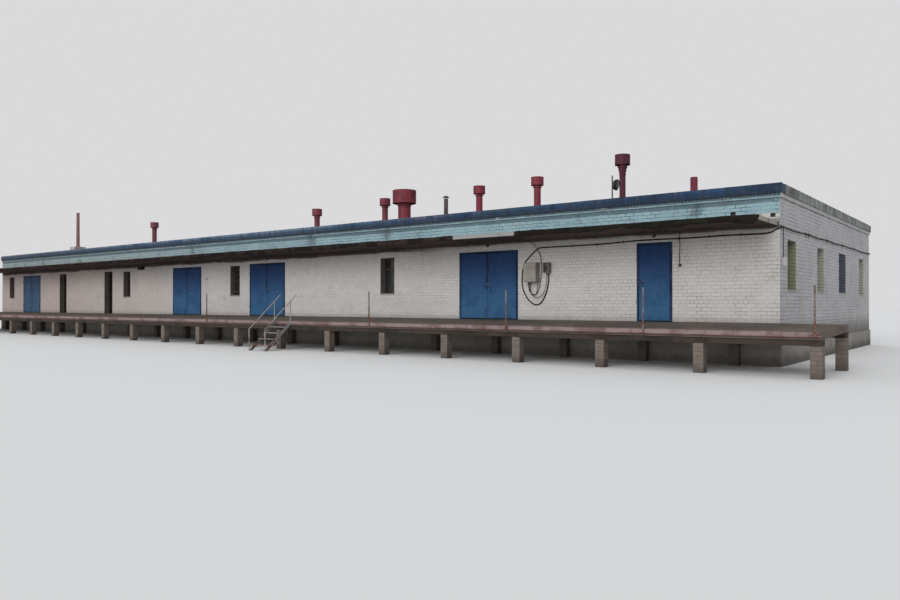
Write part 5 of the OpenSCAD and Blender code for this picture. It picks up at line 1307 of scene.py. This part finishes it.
def make_metal_finishes():
    """Copings, rails, doors, vents, pipes, cables, lamps and the cabinet."""
    greyed = mark((0.125, 0.150, 0.185), 0.85, (0, -4.0, -8.0))
    bleached = mark((0.19, 0.26, 0.34), 0.7, (0, 4.6, 3.2), (0, -8.0, -4.0), blotch=(1.1, 0.36, 0.52))
    purplish = mark((0.14, 0.12, 0.18), 0.7, (0, 4.4, 5.0), (0, 7.0, 6.2), blotch=(1.2, 0.40, 0.58))
    shaded = mark((0.62, 0.66, 0.70), 1.0, (0, 6.8, 8.0), blend="MULTIPLY")
    finish("blue_sheet", "coping_blue", (0.034, 0.092, 0.185), (0.014, 0.028, 0.075), patch=(2.2, 0.27),
           tones=[(0.035, 0.100, 0.22), (0.075, 0.145, 0.24), (0.014, 0.032, 0.085), (0.10, 0.145, 0.185),
                  (0.018, 0.045, 0.11)], tone_at=(0.0, 0.3, 0.55, 0.8, 1.0), tone_mix=0.6,
           dirt=(0.014, 0.024, 0.036), streak=(14.0, 0.26), grain=(60.0, 0.0006), rough=(0.55, 0.8),
           chips=chipped(8.0, 0.12), chip_colour=(0.12, 0.13, 0.14), marks=[
               bleached, greyed, purplish, shaded,
               # the face darker towards its foot, and darkest along the drip edge, which is a painted shadow
               mark((0.013, 0.032, 0.072), 0.72, (2, COPING_TOP - 0.030, COPING_TOP - 0.052), ragged=0.035),
               mark((0.012, 0.020, 0.034), 0.8, (2, COPING_TOP - 0.075, CORNICE_TOP - 0.014), ragged=0.02)])
    finish("coping_body", "coping_blue", (0.03, 0.05, 0.09), (0.02, 0.03, 0.05), rough=(0.6, 0.8))
    finish("zinc_sheet", "coping_zinc", (0.27, 0.295, 0.285), (0.17, 0.185, 0.175), patch=(2.6, 0.27),
           tones=[(0.30, 0.32, 0.32), (0.16, 0.17, 0.17)], streak=(12.0, 0.26), grain=(60.0, 0.0006),
           rough=(0.5, 0.78), metallic=0.2, speckle=0.3, chips=chipped(9.0, 0.19), chip_colour=(0.045, 0.035, 0.030))
    finish("zinc_body", "coping_zinc", (0.12, 0.12, 0.13), (0.08, 0.08, 0.085), rough=(0.6, 0.8))
    finish("rail_paint", "rail_steel", (0.33, 0.315, 0.31), (0.21, 0.18, 0.17), rough=(0.6, 0.85),
           chips=chipped(22.0, 0.19, 0.3, high=0.5))
    finish("post_paint", "rail_steel", (0.205, 0.175, 0.165), (0.13, 0.10, 0.09), patch=(4.0, 0.27), rough=(0.7, 0.9),
           chips=chipped(22.0, 0.19, 0.6, FLOOR, FLOOR + 0.3))
    finish("stair_iron", "stair_steel", (0.27, 0.265, 0.265), (0.17, 0.155, 0.15), rough=(0.6, 0.85),
           chips=chipped(18.0, 0.20, 0.5, high=0.4))
    door = {"patch": (2.6, 0.26), "dirt": (0.012, 0.022, 0.045), "streak": (5.0, 0.10), "speckle": 0.10,
            "grain": (90.0, 0.0004), "rough": (0.58, 0.82), "spec": 0.2}
    shade = mark((0.009, 0.030, 0.100), 0.92, (2, FLOOR + 0.15, HEAD - 0.15))
    dusty = mark((0.050, 0.080, 0.125), 0.6, (0, -6.0, -9.0))
    finish("door_paint", "door_blue", (0.034, 0.105, 0.215), (0.026, 0.084, 0.180), **door, marks=[shade, dusty])
    finish("door_trim", "door_blue", (0.030, 0.090, 0.185), (0.022, 0.072, 0.150), **door, marks=[shade, dusty])
    # door frames: the doors' blue darkened to painted shade, as the heads lie in the canopy's shade
    finish("shaded_frame_paint", "door_blue", (0.016, 0.036, 0.080), (0.010, 0.020, 0.045), **door)
    finish("meeting_strip", "door_blue", (0.006, 0.011, 0.024), (0.004, 0.007, 0.014), **door)
    finish("door_iron", "door_blue", (0.050, 0.085, 0.145), (0.045, 0.05, 0.065), rough=(0.45, 0.8), metallic=0.3)
    finish("grate_iron", "grate_steel", (0.030, 0.026, 0.024), (0.05, 0.035, 0.03), rough=(0.6, 0.9))
    faded = mark((0.30, 0.165, 0.17), 0.75, (0, -4.0, -9.0))
    dull = mark((0.16, 0.055, 0.065), 0.45, (0, 4.6, 3.6))
    finish("vent_paint", "vent_red", (0.215, 0.034, 0.050), (0.135, 0.026, 0.038), patch=(3.0, 0.26),
           dirt=(0.045, 0.016, 0.018), streak=(12.0, 0.18), grain=(60.0, 0.0005), rough=(0.5, 0.78),
           chips=chipped(11.0, 0.13), chip_colour=(0.10, 0.035, 0.03), marks=[
               dull, faded, mark((0.075, 0.022, 0.035), 0.85, (0, 8.9, 9.0))])
    finish("pipe_paint", "vent_red", (0.115, 0.075, 0.085), (0.080, 0.058, 0.062), patch=(5.0, 0.26),
           dirt=(0.03, 0.03, 0.03), marks=[mark((0.20, 0.036, 0.052), 0.9, (0, 8.0, 8.1))])
    finish("cable_sheath", "cable_rubber", (0.010, 0.010, 0.011), (0.018, 0.017, 0.016), rough=(0.6, 0.85),
           grain=(300.0, 0.0003), spec=0.15)
    finish("bracket_iron", "lamp_steel", (0.055, 0.052, 0.050), (0.05, 0.036, 0.03), rough=(0.5, 0.8), metallic=0.4,
           chips=chipped(60.0, 0.20))
    finish("lamp_iron", "lamp_steel", (0.05, 0.056, 0.058), (0.035, 0.040, 0.042), rough=(0.4, 0.7), metallic=0.4)
    finish("cabinet_paint", "box_paint", (0.305, 0.280, 0.245), (0.25, 0.225, 0.195), rough=(0.4, 0.7),
           chips=chipped(30.0, 0.13, 0.4, FLOOR + 0.6, FLOOR + 0.7),
           marks=[mark((0.44, 0.44, 0.45), 0.9, (0, HALF - 0.02, HALF - 0.01)),
                  mark((0.165, 0.145, 0.125), 0.85, (0, 8.50, 8.51), (0, 9.0, 8.9)),
                  mark((0.035, 0.033, 0.032), 0.95, (0, 10.5, 10.6), (0, HALF - 0.02, HALF - 0.03))])
    finish("cabinet_trim", "box_paint", (0.34, 0.34, 0.31), (0.24, 0.235, 0.21), rough=(0.4, 0.7))
    finish("pale_plastic", "box_paint", (0.62, 0.60, 0.57), (0.50, 0.48, 0.45), rough=(0.35, 0.6))
    finish("dark_plastic", "box_paint", (0.045, 0.043, 0.040), (0.03, 0.03, 0.03), rough=(0.35, 0.6))


def make_window_finishes():
    """Frames, bars, panes and lamp glasses."""
    finish("frame_timber", "timber", (0.070, 0.052, 0.042), (0.045, 0.036, 0.030), patch=(6.0, 0.25),
           streak=(30.0, 0.25), grain=(200.0, 0.0008), rough=(0.7, 0.92))
    finish("window_iron", "timber", (0.05, 0.045, 0.04), (0.07, 0.045, 0.03), rough=(0.5, 0.8), metallic=0.3,
           chips=chipped(50.0, 0.22))
    finish("lattice_iron", "timber", (0.045, 0.058, 0.115), (0.030, 0.034, 0.060), rough=(0.6, 0.85))
    finish("ribbed_pane", "window_glass", (0.125, 0.130, 0.080), (0.085, 0.088, 0.058), patch=(4.0, 0.3),
           dirt=(0.04, 0.04, 0.03), rough=(0.25, 0.5), grain=(40.0, 0.0003))
    finish("lens", "lamp_glass", (0.03, 0.045, 0.045), (0.045, 0.055, 0.05), rough=(0.15, 0.35), grain=(40.0, 0.0001))
    glass_finish("pane", "window_glass", (0.040, 0.042, 0.042), 0.2, 0.35, (0.05, 0.048, 0.040))
    glass_finish("lamp_glass", "lamp_glass", (0.75, 0.75, 0.70), 0.12, 0.8, (0.35, 0.33, 0.28))


NODE_FINISH = {
    "foundation": "foundation_body", "base_wall": "wall_mortar", "floor_slab": "floor_screed",
    "front_upper_wall": "wall_mortar", "back_wall": "wall_mortar", "left_end_wall": "wall_mortar",
    "right_end_wall": "wall_mortar", "cornice": "cornice_body", "roof_slab": "roof_body",
    "front_coping": "coping_body", "rear_coping": "zinc_body", "canopy": "canopy_slab",
    "deck_slabs": "deck_concrete", "deck_edge": "edge_paint", "deck_beams": "shaded_beam_face", "deck_piers": "pier_body",
    "deck_posts": "post_paint", "stair": "stair_iron", "stair_rails": "rail_paint", "door_frames": "shaded_frame_paint",
    "doorway_frames": "frame_timber", "window_frames": "frame_timber", "window_glass": "pane",
    "window_sills": "sill", "wall_grate": "grate_iron", "roof_vents": "vent_paint", "big_vent": "vent_paint",
    "tall_vent": "vent_paint", "flue": "vent_paint", "flue_base": "flue_body", "roof_pipes": "pipe_paint",
    "floodlight": "lamp_iron", "meter_boxes": "cabinet_paint", "wall_cables": "cable_sheath",
    "door_lamps": "lamp_iron"}


class FACTORY_OT_finishes(bpy.types.Operator):
    """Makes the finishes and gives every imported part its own"""
    bl_idname = "factory.finishes"
    bl_label = "Finishes"

    def execute(self, context):
        make_groups()
        make_wall_finishes()
        make_concrete_finishes()
        make_metal_finishes()
        make_window_finishes()
        for name, obj in frame["nodes"].items():
            if name.startswith("front_wall"):
                key = "wall_mortar"
            elif name.startswith(("dock_door", "side_door")):
                key = "door_paint"
            else:
                key = NODE_FINISH[name]
            obj.data.materials.clear()
            obj.data.materials.append(FINISHES[key])
        return {"FINISHED"}


class FACTORY_OT_stage(bpy.types.Operator):
    """Sets the pale floor, the soft light and the camera at the photograph's angle"""
    bl_idname = "factory.stage"
    bl_label = "Stage"

    def execute(self, context):
        s = context.scene.factory_stage
        size = 400.0
        mesh = bpy.data.meshes.new("floor")
        mesh.from_pydata([(-size, -size, 0), (size, -size, 0), (size, size, 0), (-size, size, 0)], [], [(0, 1, 2, 3)])
        floor = bpy.data.objects.new("floor", mesh)
        context.scene.collection.objects.link(floor)
        m = bpy.data.materials.new("floor")
        m.use_nodes = True
        shader = m.node_tree.nodes["Principled BSDF"]
        shader.inputs["Base Color"].default_value = (*s.floor, 1)
        shader.inputs["Roughness"].default_value = 0.9
        mesh.materials.append(m)
        world = bpy.data.worlds.new("pale")
        context.scene.world = world
        world.use_nodes = True
        tree = world.node_tree
        tree.nodes.clear()
        g = Graph(tree)
        light = tree.nodes.new("ShaderNodeLightPath")
        seen = g.math("MAXIMUM", light.outputs["Is Camera Ray"], light.outputs["Is Transmission Ray"])
        seen = g.math("MAXIMUM", seen, light.outputs["Is Glossy Ray"])
        sky = g.mix(seen, tuple(s.sky_light * c for c in s.sky), tuple(s.backdrop))
        g.end("World", g.add("Background", {"Color": sky, "Strength": 1.0}))
        for name, turn, power, spread in (("sun", (68, 0, 8), s.sun, 42), ("fill", (58, 0, -150), s.fill, 60)):
            lamp = bpy.data.lights.new(name, "SUN")
            lamp.energy, lamp.angle = power, math.radians(spread)
            obj = bpy.data.objects.new(name, lamp)
            obj.rotation_euler = [math.radians(a) for a in turn]
            context.scene.collection.objects.link(obj)
        camera = bpy.data.cameras.new("camera")
        camera.lens, camera.sensor_width = s.lens, 36.0
        camera.clip_end = 900
        obj = bpy.data.objects.new("camera", camera)
        obj.location = s.camera
        obj.rotation_euler = [math.radians(a) for a in s.camera_turn]
        context.scene.collection.objects.link(obj)
        context.scene.camera = obj
        context.scene.view_settings.view_transform = "Standard"
        return {"FINISHED"}


class FactoryBricks(bpy.types.PropertyGroup):
    """Sizes of the brickwork"""
    length: bpy.props.FloatProperty(name="Brick length", description="Length of a brick's face", default=0.125,
                                    unit="LENGTH")
    course: bpy.props.FloatProperty(name="Course", description="Height of a course with its joint", default=0.0505,
                                    unit="LENGTH")
    joint: bpy.props.FloatProperty(name="Joint", description="Width of the mortar joints", default=0.006,
                                   unit="LENGTH")
    proud: bpy.props.FloatProperty(name="Proud", description="How far the bricks stand out of the mortar",
                                   default=0.003, unit="LENGTH")
    arris: bpy.props.FloatProperty(name="Arris", description="Width of the worn edge of a brick", default=0.0015,
                                   unit="LENGTH")


class FactoryStage(bpy.types.PropertyGroup):
    """Colours, light and camera of the stage"""
    floor: bpy.props.FloatVectorProperty(name="Floor", description="Colour of the floor", subtype="COLOR",
                                         default=(0.86, 0.86, 0.86))
    sky: bpy.props.FloatVectorProperty(name="Sky", description="Colour of the light from all round",
                                       subtype="COLOR", default=(0.96, 0.98, 1.0))
    sky_light: bpy.props.FloatProperty(name="Sky light", description="Strength of the light from all round",
                                       default=0.52)
    backdrop: bpy.props.FloatVectorProperty(name="Backdrop", description="Colour behind the building",
                                            subtype="COLOR", default=(0.70, 0.70, 0.71))
    sun: bpy.props.FloatProperty(name="Sun", description="Strength of the soft main light", default=1.75)
    fill: bpy.props.FloatProperty(name="Fill", description="Strength of the light from behind", default=0.35)
    lens: bpy.props.FloatProperty(name="Lens", description="Focal length of the camera", default=29.68,
                                  unit="CAMERA")
    camera: bpy.props.FloatVectorProperty(name="Camera", description="Place of the camera", unit="LENGTH",
                                          default=(14.533, -12.452, 0.807))
    camera_turn: bpy.props.FloatVectorProperty(name="Camera turn", description="Turn of the camera in degrees",
                                               default=(90.33, 0.0, 38.0))


class FACTORY_PT_panel(bpy.types.Panel):
    """Lists the pieces of the building and their settings"""
    bl_idname = "FACTORY_PT_panel"
    bl_label = "Factory Building"
    bl_space_type = "VIEW_3D"
    bl_region_type = "UI"
    bl_category = "Factory"

    def draw(self, context):
        for operator in STEPS:
            self.layout.operator(operator.bl_idname)
        for settings in (context.scene.factory_bricks, context.scene.factory_stage):
            box = self.layout.box()
            for key in settings.__annotations__:
                box.prop(settings, key)


STEPS = [FACTORY_OT_finishes, FACTORY_OT_stage, FACTORY_OT_brickwork, FACTORY_OT_piers, FACTORY_OT_copings,
         FACTORY_OT_canopy, FACTORY_OT_platform, FACTORY_OT_doors, FACTORY_OT_windows, FACTORY_OT_cables,
         FACTORY_OT_cabinet, FACTORY_OT_roofing, FACTORY_OT_vents, FACTORY_OT_stair]
CLASSES = [FactoryBricks, FactoryStage, FACTORY_PT_panel] + STEPS


def register():
    """Registers the classes and their settings."""
    for cls in CLASSES:
        bpy.utils.register_class(cls)
    bpy.types.Scene.factory_bricks = bpy.props.PointerProperty(type=FactoryBricks)
    bpy.types.Scene.factory_stage = bpy.props.PointerProperty(type=FactoryStage)


def unregister():
    """Takes the settings and the classes out again."""
    del bpy.types.Scene.factory_stage
    del bpy.types.Scene.factory_bricks
    for cls in reversed(CLASSES):
        bpy.utils.unregister_class(cls)


def main():
    """Makes every piece in order."""
    register()
    for operator in STEPS:
        category, name = operator.bl_idname.split(".")
        getattr(getattr(bpy.ops, category), name)()


if __name__ == "__main__":
    main()
